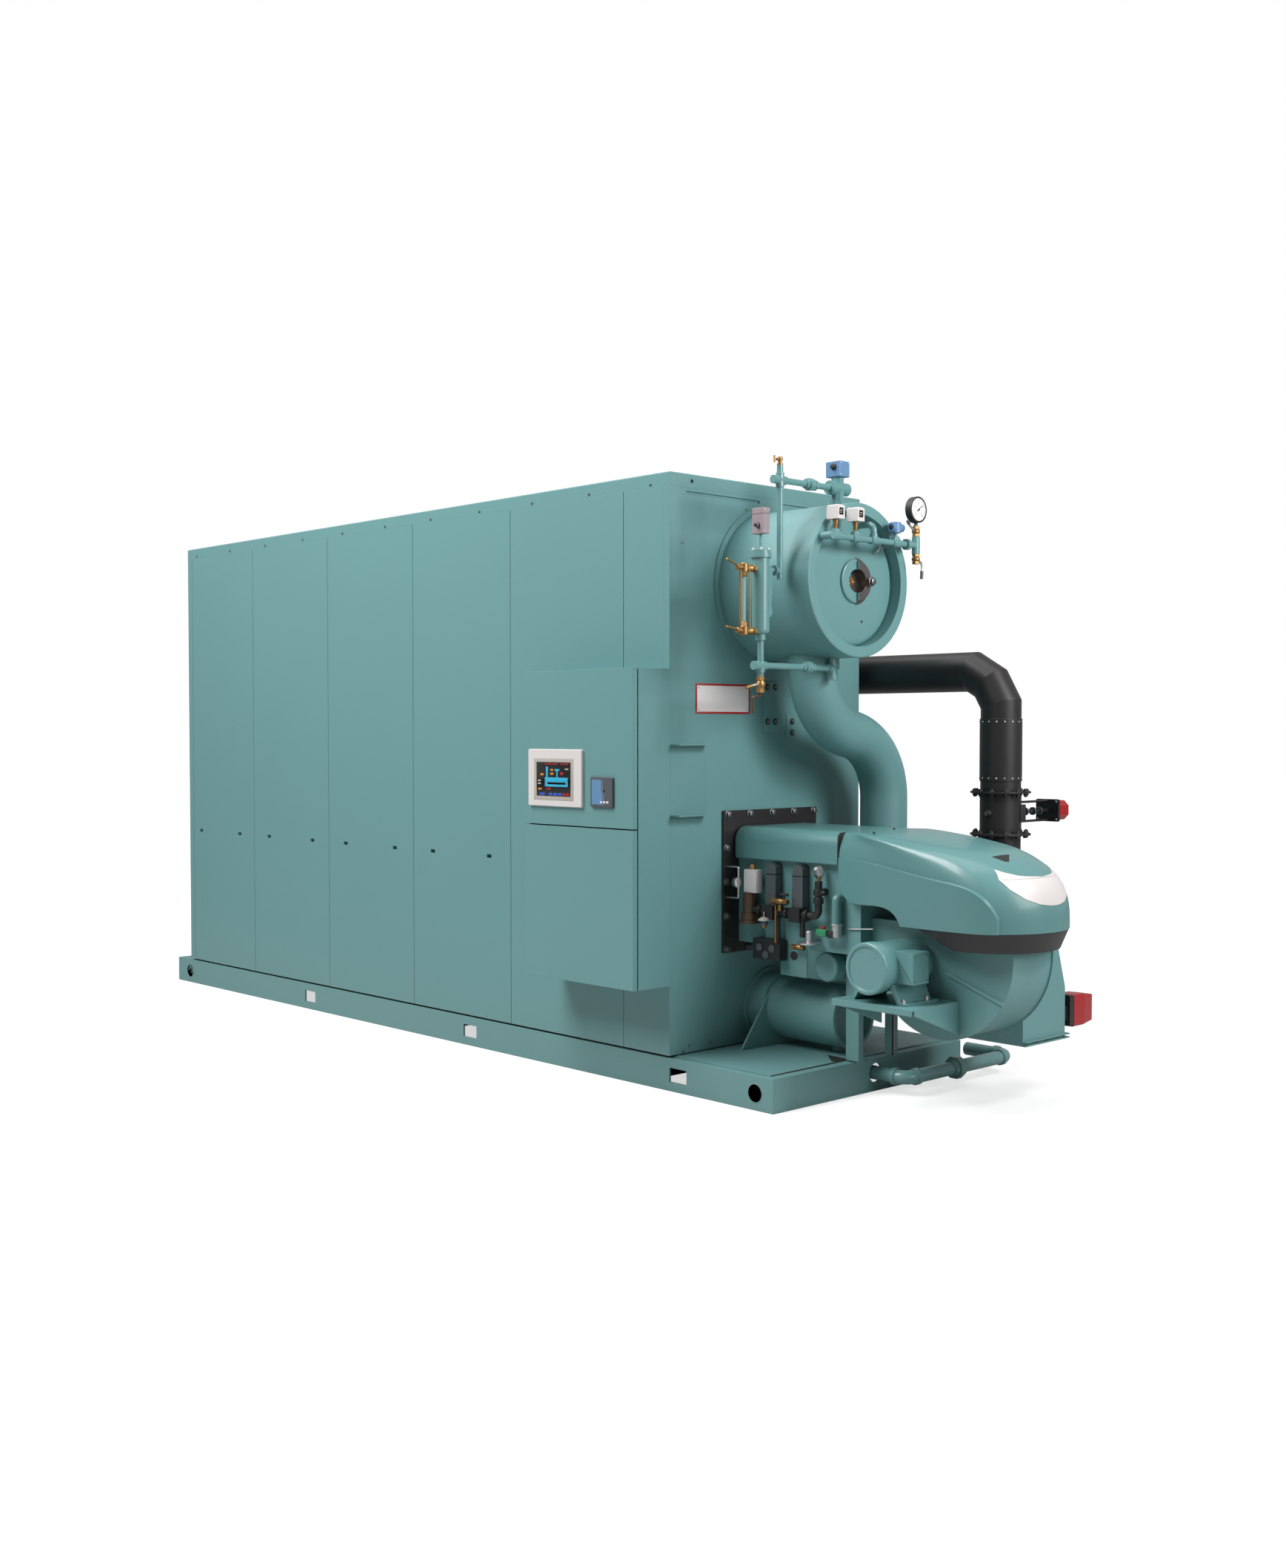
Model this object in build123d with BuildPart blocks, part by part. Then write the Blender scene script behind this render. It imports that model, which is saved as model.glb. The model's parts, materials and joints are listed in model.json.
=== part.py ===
"""Packaged water-tube hot-water boiler on a skid.

Millimetres. X runs across the front (right is plus), Y runs to the rear, Z is up.
The origin is the middle of the skid's footprint, on the floor.
"""

from build123d import *
from math import acos, asin, atan2, cos, degrees, hypot, pi, radians, sin, tan
import os

os.makedirs("parts", exist_ok=True)

# Skid and casing
SKID_WIDTH = 1273.0
SKID_HEIGHT = 143.0
SKID_FLANGE = 60.0
SKID_WEB = 9.0
FRONT_DECK = 609.0
REAR_DECK = 162.0
DECK_THICK = 6.0
DECK_SIDE_IN = 35.0
DECK_FRONT_IN = 47.0
DECK_CUT_HALF = 197.0
DECK_CUT_AHEAD = 330.0
CASING_LENGTH = 4285.0
CASING_WIDTH = 1273.0
CASING_TOP = 2680.0
SEAL_HEIGHT = 10.0
SEAT = 0.3
SEAL_INSET = 18.0
WALL = 40.0
LID_LIP = 60.0
LID_EDGE = 4.0
LIFT_HOLE = 75.0
LIFT_HOLE_IN = 101.0
LIFT_HOLE_REAR = 149.0
FORK_LENGTH = 105.0
FORK_HEIGHT = 62.0
FORK_AHEAD = 53.0
FORK_PITCH = 1480.0
FORK_COUNT = 3
CROSS_COUNT = 7

# Side panels and the openings in the front wall
FRONT_STRIP = 296.0
PANEL_PITCH = 803.0
PANEL_COUNT = 5
REAR_TRIM = 51.0
PANEL_GAP = 3.0
GRIP_HEIGHT = 953.0
GRIP_LENGTH = 36.0
GRIP_TALL = 18.0
GRIP_DEPTH = 24.0
GRIP_IN = 169.0
EYE_HOLE = 17.0
EYE_HOLE_DROP = 30.0
EYE_HOLE_IN = 135.5
SLIT_LENGTH = 465.0
SLIT_TALL = 13.0
SLIT_DEPTH = 8.0
SLIT_DROP = 82.0
SLIT_MIDDLE = 303.0

# Upper drum
DRUM_HEIGHT = 2217.0
DRUM_OUTER = 335.0
DRUM_REACH = 525.0
DRUM_BORE = 287.0
DRUM_EDGE = 6.0
HEAD_RECESS = 48.0
HEAD_THICK = 30.0
HEAD_ROUND = 22.0
DRUM_RING = 364.0
DRUM_RING_THICK = 8.0
HANDHOLE_X = 25.0
HANDHOLE_OUTER = 97.0
HANDHOLE_BORE = 50.5
HANDHOLE_PROUD = 12.0
YOKE_PROUD = 24.0
YOKE_IN = 11.0
YOKE_BOLT = 14.0

# Downcomer and lower drum
PIPE_R = 109.5
PIPE_AHEAD = 260.0
PIPE_SHIFT = 505.0
PIPE_ELBOW = 300.0
PIPE_FOOT_ELBOW = 260.0
PIPE_STUB = 36.0
PIPE_FOOT_RISE = 18.0
PIPE_COLLAR = 9.0
PIPE_COLLAR_DROP = 42.0
LOWER_DRUM_R = 140.0
LOWER_DRUM_HEIGHT = 312.0
LOWER_DRUM_REACH = 505.0
LOWER_COLLAR = 12.0
LOWER_COLLAR_REACH = 104.0
WALL_RING = 30.0
LOWER_RING_WALL = 16.0
LOWER_RING_REACH = 45.0
SADDLE_HALF = 300.0
SADDLE_THICK = 12.0

# Rear connections
RETURN_HEIGHT = 420.0
NOZZLE_REACH = 150.0
PIPE_WALL = 8.2
FLANGE_R = 171.5
FLANGE_THICK = 29.0
FLANGE_PCD = 298.5
FLANGE_BOLTS = 8
FLANGE_HOLE = 22.4
FLUE_R = 228.0
FLUE_WALL = 5.0
FLUE_HEIGHT = 45.0
FLUE_FLANGE = 34.0
FLUE_FLANGE_THICK = 6.0
FLUE_IN = 420.0
DOOR_WIDTH = 560.0
DOOR_TALL = 640.0
DOOR_HEIGHT = 1180.0
DOOR_DEEP = 46.0
DOOR_CORNER = 40.0
SIGHT_R = 44.0
SIGHT_REACH = 60.0
SIGHT_BORE = 26.0

# Burner
PLATE_SIDE = 625.0
PLATE_BOTTOM = 573.0
PLATE_TOP = 1208.0
PLATE_THICK = 12.0
NECK_HALF = 251.0
NECK_TOP = 1138.0
NECK_BOTTOM = 996.0
NECK_REACH = 618.0
NECK_ROUND = 60.0
NECK_EDGE = 22.0
HOUSING_HALF = 213.0
HOUSING_BOTTOM = 620.0
COVER_GAP = 6.0
NOSE_HALF = 308.0
NOSE_REACH = 1530.0
NOSE_ARC = 120.0
NOSE_TURN = 42.0
NOSE_INSET = 10.0
BAND_TOP = 775.0
BAND_TALL = 80.0
BAND_IN = 8.0
BAND_SLOPE = 20.0
BAND_REAR = 1073.0
BAND_REAR_SLANT = 156.0
FAN_AHEAD = 1070.0
FAN_HEIGHT = 660.0
FAN_R = 353.0
FAN_HALF = 140.0
FAN_SIDE = 5.0
FAN_LIP = 7.0
FAN_RIB = 12.0
SHAFT_AHEAD = 952.0
SHAFT_HEIGHT = 616.0
MOTOR_R = 106.0
MOTOR_BODY_R = 101.0
MOTOR_OUT = 470.0
BELL_LONG = 52.0
BELL_DISH = 6.0
BELL_RIM = 17.0
SHELF_OUT = 455.0
SHELF_NEAR = 1165.0
SHELF_FAR = 764.0
SHELF_HEIGHT = 475.0
SHELF_THICK = 8.0
SHELF_LIP = 26.0
SHELF_RIB_DROP = 137.0
BOX_HALF_TO = 449.0
BOX_NEAR = 1280.0
BOX_FAR = 860.0
BOX_BOTTOM = 275.0
BOX_SHOULDER = 485.0
BOX_SLOPE = 66.0
BOX_FLANGE = 15.0
BOX_FLANGE_THICK = 5.0

# Flue-gas duct
DUCT_R = 92.0
DUCT_SIDE = 784.0
DUCT_HEIGHT = 1838.0
DUCT_AHEAD = 717.0
DUCT_REAR_IN = 500.0
DUCT_ELBOW = 208.0
DUCT_MITRES = 3
SLEEVE_TOP = 1620.0
SLEEVE_LONG = 286.0
SLEEVE_WALL = 4.0
DAMPER_TOP = 1289.0
DAMPER_LONG = 202.0
DAMPER_FLANGE = 45.0
DAMPER_FLANGE_THICK = 9.0
SHAFT_OUT = 380.0
DROP_TURN = 480.0

# Control cabinet
CABINET_DEPTH = 220.0
CABINET_FRONT = -6.0
CABINET_LENGTH = 726.0
CABINET_BOTTOM = 458.0
CABINET_TOP = 1831.0
CABINET_SEAM = 1144.0
CABINET_SHEET = 4.0
DOOR_THICK = 24.0
DOOR_GAP = 6.0

SKID_LENGTH = FRONT_DECK + CASING_LENGTH + REAR_DECK
FRONT = -SKID_LENGTH / 2 + FRONT_DECK
REAR = FRONT + CASING_LENGTH
HALF = CASING_WIDTH / 2
CASING_BOTTOM = SKID_HEIGHT + SEAL_HEIGHT
DECK_TOP = SKID_HEIGHT + DECK_THICK
HOUSING_REACH = FAN_AHEAD - FAN_R - SEAT
DRUM_TOP = DRUM_HEIGHT + DRUM_OUTER
DRUM_UNDER = DRUM_HEIGHT - DRUM_OUTER
HEAD_FACE = DRUM_REACH - HEAD_RECESS
BAND_BOTTOM = BAND_TOP - BAND_TALL


def write(piece, label):
    """Label a finished piece and write it under its own name."""
    piece.part.label = label
    export_step(piece.part, f"parts/{label}.step")


def ahead(distance):
    """Y of a plane that many millimetres in front of the casing."""
    return FRONT - distance


def span(low, high):
    """Size and middle of a stretch from low to high."""
    return high - low, (high + low) / 2


def block(low, high, mode=Mode.ADD):
    """Box between two corners, added to the piece that is being built."""
    sizes = [span(a, b) for a, b in zip(low, high)]
    with Locations(tuple(middle for size, middle in sizes)):
        Box(*(size for size, middle in sizes), mode=mode)


def disc(centre, radius, length, plane, mode=Mode.ADD):
    """Round bar that starts at a centre and runs along the plane's normal."""
    face = Plane(origin=centre, x_dir=plane.x_dir, z_dir=plane.z_dir)
    with BuildSketch(face) as end:
        Circle(radius)
    extrude(end.sketch, amount=length, mode=mode)


def prism(centre, across, sides, length, plane, mode=Mode.ADD):
    """Bar with flat sides, a size across its flats, along the plane's normal."""
    face = Plane(origin=centre, x_dir=plane.x_dir, z_dir=plane.z_dir)
    with BuildSketch(face) as end:
        RegularPolygon(across / 2, sides, major_radius=False, rotation=180 / sides)
    extrude(end.sketch, amount=length, mode=mode)


FORWARD = Plane(origin=(0, 0, 0), x_dir=(1, 0, 0), z_dir=(0, -1, 0))
REARWARD = Plane(origin=(0, 0, 0), x_dir=(-1, 0, 0), z_dir=(0, 1, 0))
LEFTWARD = Plane(origin=(0, 0, 0), x_dir=(0, -1, 0), z_dir=(-1, 0, 0))
RIGHTWARD = Plane(origin=(0, 0, 0), x_dir=(0, 1, 0), z_dir=(1, 0, 0))
UPWARD = Plane.XY


def tube(points, bends, radius, transition=Transition.TRANSFORMED):
    """Round pipe along straight runs, joined by tangent bends where they are given."""
    with BuildLine() as route:
        if bends:
            FilletPolyline(*points, radius=bends if len(bends) > 1 else bends[0])
        else:
            Polyline(*points)
    start = route.line @ 0
    with BuildSketch(Plane(origin=start, z_dir=route.line % 0)) as end:
        Circle(radius)
    sweep(end.sketch, path=route.line, transition=transition)


def clear_drum():
    """Cut a piece back to the skin of the upper drum that it is welded to."""
    disc((0, FRONT, DRUM_HEIGHT), DRUM_OUTER + SEAT, DRUM_REACH, FORWARD, Mode.SUBTRACT)


def clear_lower_drum():
    """Cut a piece back to the skin of the lower drum that it is welded to."""
    disc((0, FRONT, LOWER_DRUM_HEIGHT), LOWER_DRUM_R + SEAT, LOWER_DRUM_REACH, FORWARD, Mode.SUBTRACT)


# Skid: two side channels and the cross members welded between them
SKID_SIDE = SKID_WIDTH / 2
LIFT_YS = (-SKID_LENGTH / 2 + LIFT_HOLE_IN, SKID_LENGTH / 2 - LIFT_HOLE_REAR)
FORK_YS = [ahead(FORK_AHEAD) + n * FORK_PITCH for n in range(FORK_COUNT)]

for side, name in ((-1, "left"), (1, "right")):
    with BuildPart() as side_channel:
        low, high = sorted((side * SKID_SIDE, side * (SKID_SIDE - SKID_FLANGE)))
        block((low, -SKID_LENGTH / 2, 0), (high, SKID_LENGTH / 2, SKID_HEIGHT))
        low, high = sorted((side * (SKID_SIDE - SKID_WEB), side * (SKID_SIDE - SKID_FLANGE - 1)))
        block(
            (low, -SKID_LENGTH / 2 - 1, SKID_WEB),
            (high, SKID_LENGTH / 2 + 1, SKID_HEIGHT - SKID_WEB),
            Mode.SUBTRACT,
        )
        for y in LIFT_YS:
            with Locations((side * SKID_SIDE, y, SKID_HEIGHT / 2)):
                Cylinder(LIFT_HOLE / 2, 3 * SKID_WEB, rotation=(0, 90, 0), mode=Mode.SUBTRACT)
        with Locations([(side * SKID_SIDE, y, SKID_HEIGHT / 2) for y in FORK_YS]):
            Box(3 * SKID_WEB, FORK_LENGTH, FORK_HEIGHT, mode=Mode.SUBTRACT)
    write(side_channel, f"{name}_skid_channel")

CROSS_REACH = SKID_SIDE - SKID_WEB
CROSS_PITCH = (SKID_LENGTH - SKID_FLANGE) / (CROSS_COUNT - 1)
DRAIN_HOLE = 84.0
DRAIN_X = 22.0
DRAIN_Z = 80.0
DRAIN_R = 30.0


def cross_channel(n):
    """Cross member number n, its web at the outer side of the frame."""
    y = -SKID_LENGTH / 2 + n * CROSS_PITCH
    with BuildSketch(Plane(origin=(-CROSS_REACH, y, 0), x_dir=(0, 1, 0), z_dir=(1, 0, 0))) as section:
        Rectangle(SKID_FLANGE, SKID_HEIGHT, align=(Align.MIN, Align.MIN))
        hollow = SKID_WEB if n < CROSS_COUNT - 1 else -1
        with Locations((hollow, SKID_WEB)):
            Rectangle(
                SKID_FLANGE - SKID_WEB + 1,
                SKID_HEIGHT - 2 * SKID_WEB,
                align=(Align.MIN, Align.MIN),
                mode=Mode.SUBTRACT,
            )
    extrude(section.sketch, amount=2 * CROSS_REACH)
    # The ends are coped to the side channels' flanges
    for side in (-1, 1):
        for z in (SKID_WEB / 2, SKID_HEIGHT - SKID_WEB / 2):
            with Locations((side * (SKID_SIDE - SKID_FLANGE / 2), y + SKID_FLANGE / 2, z)):
                Box(SKID_FLANGE, SKID_FLANGE + 2, SKID_WEB + 0.001, mode=Mode.SUBTRACT)


with BuildPart() as skid_cross_members:
    for n in range(CROSS_COUNT):
        cross_channel(n)
    with Locations((DRAIN_X, -SKID_LENGTH / 2, DRAIN_Z)):
        Cylinder(DRAIN_HOLE / 2, 3 * SKID_WEB, rotation=(90, 0, 0), mode=Mode.SUBTRACT)
write(skid_cross_members, "skid_cross_members")

with BuildPart() as deck_plate:
    block(
        (-SKID_SIDE + DECK_SIDE_IN, -SKID_LENGTH / 2 + DECK_FRONT_IN, SKID_HEIGHT),
        (SKID_SIDE - DECK_SIDE_IN, FRONT - 2, DECK_TOP),
    )
    block(
        (-DECK_CUT_HALF, -SKID_LENGTH / 2, SKID_HEIGHT - 5),
        (DECK_CUT_HALF, ahead(DECK_CUT_AHEAD), SKID_HEIGHT + 20),
        Mode.SUBTRACT,
    )
write(deck_plate, "deck_plate")

with BuildPart() as base_seal:
    block(
        (-HALF + SEAL_INSET, FRONT + SEAL_INSET, SKID_HEIGHT),
        (HALF - SEAL_INSET, REAR - SEAL_INSET, CASING_BOTTOM),
    )
write(base_seal, "base_seal")

# Casing
LID_BOTTOM = CASING_TOP - LID_LIP
with BuildPart() as furnace_block:
    block(
        (-HALF + WALL, FRONT + WALL, CASING_BOTTOM),
        (HALF - WALL, REAR - WALL, LID_BOTTOM),
    )
write(furnace_block, "furnace_block")

with BuildPart() as roof_cover:
    block((-HALF, FRONT, LID_BOTTOM), (HALF, REAR, CASING_TOP))
    top_edges = roof_cover.edges().group_by(Axis.Z)[-1]
    chamfer(top_edges, LID_EDGE)
    for side in (-1, 1):
        eye = (side * (HALF - EYE_HOLE_IN), FRONT - 1, CASING_TOP - EYE_HOLE_DROP)
        disc(eye, EYE_HOLE / 2, -20, FORWARD, Mode.SUBTRACT)
write(roof_cover, "roof_cover")

with BuildPart() as front_wall:
    block((-HALF, FRONT, CASING_BOTTOM), (HALF, FRONT + WALL, LID_BOTTOM))
    disc((0, FRONT - 1, DRUM_HEIGHT), DRUM_OUTER + 2, -WALL - 2, FORWARD, Mode.SUBTRACT)
    disc((0, FRONT - 1, LOWER_DRUM_HEIGHT), LOWER_DRUM_R + 2, -WALL - 2, FORWARD, Mode.SUBTRACT)
    for side in (-1, 1):
        with Locations((side * SLIT_MIDDLE, FRONT, CASING_TOP - SLIT_DROP)):
            Box(SLIT_LENGTH, 2 * SLIT_DEPTH, SLIT_TALL, mode=Mode.SUBTRACT)
write(front_wall, "front_wall")

with BuildPart() as rear_wall:
    block((-HALF, REAR - WALL, CASING_BOTTOM), (HALF, REAR, LID_BOTTOM))
write(rear_wall, "rear_wall")

# Furnace access door on the rear wall, bolted, with its sight port
with BuildPart() as rear_door:
    block(
        (-DOOR_WIDTH / 2, REAR, DOOR_HEIGHT - DOOR_TALL / 2),
        (DOOR_WIDTH / 2, REAR + DOOR_DEEP, DOOR_HEIGHT + DOOR_TALL / 2),
    )
    fillet(rear_door.edges().filter_by(Axis.Y), DOOR_CORNER)
    fillet(rear_door.faces().sort_by(Axis.Y)[-1].edges(), 5)
    disc((0, REAR + DOOR_DEEP, DOOR_HEIGHT), SIGHT_R, SIGHT_REACH, REARWARD)
    disc((0, REAR + DOOR_DEEP + SIGHT_REACH, DOOR_HEIGHT), SIGHT_BORE, -20, REARWARD, Mode.SUBTRACT)
write(rear_door, "rear_door")

# Water connections on the rear wall and the flue outlet on the roof
for label, z in (("supply_nozzle", DRUM_HEIGHT), ("return_nozzle", RETURN_HEIGHT)):
    with BuildPart() as nozzle:
        disc((0, REAR, z), PIPE_R, NOZZLE_REACH, REARWARD)
        disc((0, REAR + NOZZLE_REACH - FLANGE_THICK, z), FLANGE_R, FLANGE_THICK, REARWARD)
        disc((0, REAR + 1, z), PIPE_R - PIPE_WALL, NOZZLE_REACH, REARWARD, Mode.SUBTRACT)
        with Locations(Plane(origin=(0, REAR + NOZZLE_REACH - FLANGE_THICK / 2, z), z_dir=(0, 1, 0))):
            with PolarLocations(FLANGE_PCD / 2, FLANGE_BOLTS, start_angle=180 / FLANGE_BOLTS):
                Cylinder(FLANGE_HOLE / 2, FLANGE_THICK + 2, mode=Mode.SUBTRACT)
    write(nozzle, label)

with BuildPart() as flue_collar:
    flue_y = REAR - FLUE_IN
    flange_z = CASING_TOP + FLUE_HEIGHT - FLUE_FLANGE_THICK
    disc((0, flue_y, CASING_TOP), FLUE_R + FLUE_WALL, FLUE_HEIGHT, UPWARD)
    disc((0, flue_y, flange_z), FLUE_R + FLUE_FLANGE, FLUE_FLANGE_THICK, UPWARD)
    disc((0, flue_y, CASING_TOP - 1), FLUE_R, FLUE_HEIGHT + 2, UPWARD, Mode.SUBTRACT)
write(flue_collar, "flue_collar")

SIDE_START = FRONT + WALL
SEAMS = [FRONT + FRONT_STRIP + n * PANEL_PITCH for n in range(PANEL_COUNT)] + [REAR - REAR_TRIM]


def side_piece(side, start, end, grips):
    """Insulated sheet-metal panel on one side, with its finger slots."""
    outer, inner = side * HALF, side * (HALF - WALL)
    low, high = sorted((outer, inner))
    block((low, start, CASING_BOTTOM), (high, end, LID_BOTTOM))
    pocket = sorted((outer - side * GRIP_DEPTH, outer + side))
    for y in grips:
        block(
            (pocket[0], y - GRIP_LENGTH / 2, GRIP_HEIGHT - GRIP_TALL / 2),
            (pocket[1], y + GRIP_LENGTH / 2, GRIP_HEIGHT + GRIP_TALL / 2),
            Mode.SUBTRACT,
        )


for side, name in ((-1, "left"), (1, "right")):
    with BuildPart() as corner_strips:
        side_piece(side, SIDE_START, SEAMS[0] - PANEL_GAP, ())
        side_piece(side, SEAMS[-1], REAR - WALL, ())
    write(corner_strips, f"{name}_corner_strips")
    with BuildPart() as side_panels:
        for start, end in zip(SEAMS, SEAMS[1:]):
            grips = (start + GRIP_IN, start + PANEL_PITCH - GRIP_IN)
            side_piece(side, start, end - PANEL_GAP, grips)
    write(side_panels, f"{name}_panels")

# Upper drum with its recessed head, handhole and half-ring yoke
HEAD_BACK = ahead(HEAD_FACE - HEAD_THICK)
with BuildPart() as upper_drum:
    disc((0, FRONT + WALL, DRUM_HEIGHT), DRUM_OUTER, WALL + DRUM_REACH, FORWARD)
    front_edge = upper_drum.edges().filter_by(GeomType.CIRCLE).sort_by(Axis.Y)[0]
    fillet(front_edge, DRUM_EDGE)
    disc((0, HEAD_BACK, DRUM_HEIGHT), DRUM_BORE, HEAD_THICK + HEAD_RECESS + 1, FORWARD, Mode.SUBTRACT)
write(upper_drum, "upper_drum")

with BuildPart() as drum_head:
    disc((0, HEAD_BACK, DRUM_HEIGHT), DRUM_BORE - SEAT, HEAD_THICK, FORWARD)
    rim = drum_head.edges().filter_by(GeomType.CIRCLE).sort_by(Axis.Y)[0]
    fillet(rim, HEAD_ROUND)
    handhole = (HANDHOLE_X, HEAD_BACK, DRUM_HEIGHT)
    disc(handhole, HANDHOLE_OUTER, HEAD_THICK + HANDHOLE_PROUD, FORWARD)
    fillet(drum_head.edges().filter_by(GeomType.CIRCLE).sort_by(Axis.Y)[0], 8)
    # The yoke is a half ring over the right side of the handhole, held by one bolt
    yoke_face = Plane(origin=(HANDHOLE_X, ahead(HEAD_FACE), DRUM_HEIGHT), x_dir=(1, 0, 0), z_dir=(0, -1, 0))
    with BuildSketch(yoke_face) as half_ring:
        Circle(HANDHOLE_OUTER - YOKE_IN)
        with Locations((-HANDHOLE_OUTER, 0)):
            Rectangle(2 * HANDHOLE_OUTER, 2 * HANDHOLE_OUTER + 2, mode=Mode.SUBTRACT)
    extrude(half_ring.sketch, amount=YOKE_PROUD)
    bolt_x = HANDHOLE_X + (HANDHOLE_OUTER - YOKE_IN + HANDHOLE_BORE) / 2
    disc((bolt_x, ahead(HEAD_FACE), DRUM_HEIGHT), YOKE_BOLT, YOKE_PROUD + 16, FORWARD)
    disc((HANDHOLE_X, HEAD_BACK - 8, DRUM_HEIGHT), HANDHOLE_BORE, HEAD_THICK + 40, FORWARD, Mode.SUBTRACT)
write(drum_head, "drum_head")

with BuildPart() as drum_ring:
    disc((0, FRONT, DRUM_HEIGHT), DRUM_RING, DRUM_RING_THICK, FORWARD)
    disc((0, FRONT + 1, DRUM_HEIGHT), DRUM_OUTER + 1, DRUM_RING_THICK + 2, FORWARD, Mode.SUBTRACT)
write(drum_ring, "drum_ring")

# Downcomer: two long-radius elbows make the offset, a third turns into the lower drum
PIPE_TURN = acos(1 - PIPE_SHIFT / (2 * PIPE_ELBOW))
PIPE_TANGENT = PIPE_ELBOW * tan(PIPE_TURN / 2)
PIPE_CORNER = DRUM_UNDER - PIPE_STUB - PIPE_TANGENT
PIPE_NEXT = PIPE_CORNER - 2 * PIPE_TANGENT * cos(PIPE_TURN)
PIPE_FOOT = LOWER_DRUM_HEIGHT + PIPE_FOOT_RISE
with BuildPart() as downcomer:
    pipe_y = ahead(PIPE_AHEAD)
    tube(
        (
            (0, pipe_y, DRUM_UNDER + PIPE_R / 3),
            (0, pipe_y, PIPE_CORNER),
            (PIPE_SHIFT, pipe_y, PIPE_NEXT),
            (PIPE_SHIFT, pipe_y, PIPE_FOOT),
            (LOWER_DRUM_R / 2, pipe_y, PIPE_FOOT),
        ),
        (PIPE_ELBOW - 2, PIPE_ELBOW - 2, PIPE_FOOT_ELBOW),
        PIPE_R,
    )
    disc((0, pipe_y, DRUM_UNDER - PIPE_COLLAR_DROP), PIPE_R + PIPE_COLLAR, 80, UPWARD)
    clear_drum()
    clear_lower_drum()
write(downcomer, "downcomer")

# Lower drum with its collars, open front ring and the saddle that it stands on
with BuildPart() as lower_drum:
    middle = LOWER_DRUM_HEIGHT
    disc((0, FRONT + WALL, middle), LOWER_DRUM_R, WALL + LOWER_DRUM_REACH, FORWARD)
    disc((0, FRONT, middle), LOWER_DRUM_R + WALL_RING, 14, FORWARD)
    disc((0, FRONT, middle), LOWER_DRUM_R + LOWER_COLLAR, LOWER_COLLAR_REACH, FORWARD)
    saddle_face = Plane(origin=(0, ahead(LOWER_COLLAR_REACH), 0), x_dir=(1, 0, 0), z_dir=(0, -1, 0))
    seat_z = DECK_TOP + SEAT
    slope = atan2(middle - seat_z, SADDLE_HALF) + asin(LOWER_DRUM_R / hypot(SADDLE_HALF, middle - seat_z))
    touch = (LOWER_DRUM_R * sin(slope), middle + LOWER_DRUM_R * cos(slope))
    with BuildSketch(saddle_face) as saddle:
        with BuildLine():
            Polyline(
                (-SADDLE_HALF, seat_z),
                (SADDLE_HALF, seat_z),
                touch,
                (0, middle),
                (-touch[0], touch[1]),
                close=True,
            )
        make_face()
    extrude(saddle.sketch, amount=SADDLE_THICK)
    front = LOWER_DRUM_REACH - LOWER_RING_REACH
    disc((0, ahead(front), middle), LOWER_DRUM_R - LOWER_RING_WALL, 200, FORWARD, Mode.SUBTRACT)
    block((-LOWER_DRUM_R, ahead(20), 0), (LOWER_DRUM_R, FRONT + 1, seat_z), Mode.SUBTRACT)
write(lower_drum, "lower_drum")

# Burner: mounting plate, housing, hood, nose and its dark band
with BuildPart() as burner_plate:
    block((-PLATE_SIDE / 2, ahead(PLATE_THICK), PLATE_BOTTOM), (PLATE_SIDE / 2, FRONT, PLATE_TOP))
write(burner_plate, "burner_plate")

HOOD_START = PLATE_THICK
with BuildPart() as burner_housing:
    block(
        (-HOUSING_HALF, ahead(HOUSING_REACH), HOUSING_BOTTOM),
        (HOUSING_HALF, ahead(HOOD_START), NECK_BOTTOM),
    )
write(burner_housing, "burner_housing")

with BuildPart() as burner_hood:
    block((-NECK_HALF, ahead(NECK_REACH), NECK_BOTTOM), (NECK_HALF, ahead(HOOD_START), NECK_TOP))
    shoulders = burner_hood.edges().filter_by(Axis.Y).group_by(Axis.Z)[-1]
    fillet(shoulders, NECK_ROUND)
    lower_edges = burner_hood.edges().filter_by(Axis.Y).group_by(Axis.Z)[0]
    fillet(lower_edges, 8)
    rear_rim = burner_hood.faces().sort_by(Axis.Y)[-1].edges()
    fillet(rear_rim.filter_by(lambda e: e.center().Z > NECK_BOTTOM + 1), NECK_EDGE)
write(burner_hood, "burner_hood")

NOSE_START = NECK_REACH + COVER_GAP


def nose_plan(height, reach, flank, rear_half):
    """Outline of the nose seen from above at one height: two flanks and the front's arc."""
    rear = ahead(NOSE_START)
    corner = reach - NOSE_ARC
    corner_half = flank - NOSE_TURN
    radius = (corner_half**2 + NOSE_ARC**2) / (2 * NOSE_ARC)
    with BuildSketch(Plane.XY.offset(height)) as level:
        with BuildLine() as outline:
            side = Spline(
                (-rear_half, rear),
                (-flank + 13, ahead(NOSE_START + (corner - NOSE_START) * 0.36)),
                (-flank, ahead(NOSE_START + (corner - NOSE_START) * 0.74)),
                (-corner_half, ahead(corner)),
                tangents=((-0.3, -1), ((radius - NOSE_ARC) / radius, -corner_half / radius)),
            )
            ThreePointArc(side @ 1, (0, ahead(reach)), (corner_half, ahead(corner)))
            mirror(side, about=Plane.YZ)
            Line((rear_half, rear), (-rear_half, rear))
        make_face(outline.edges())
    return level.sketch


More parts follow.
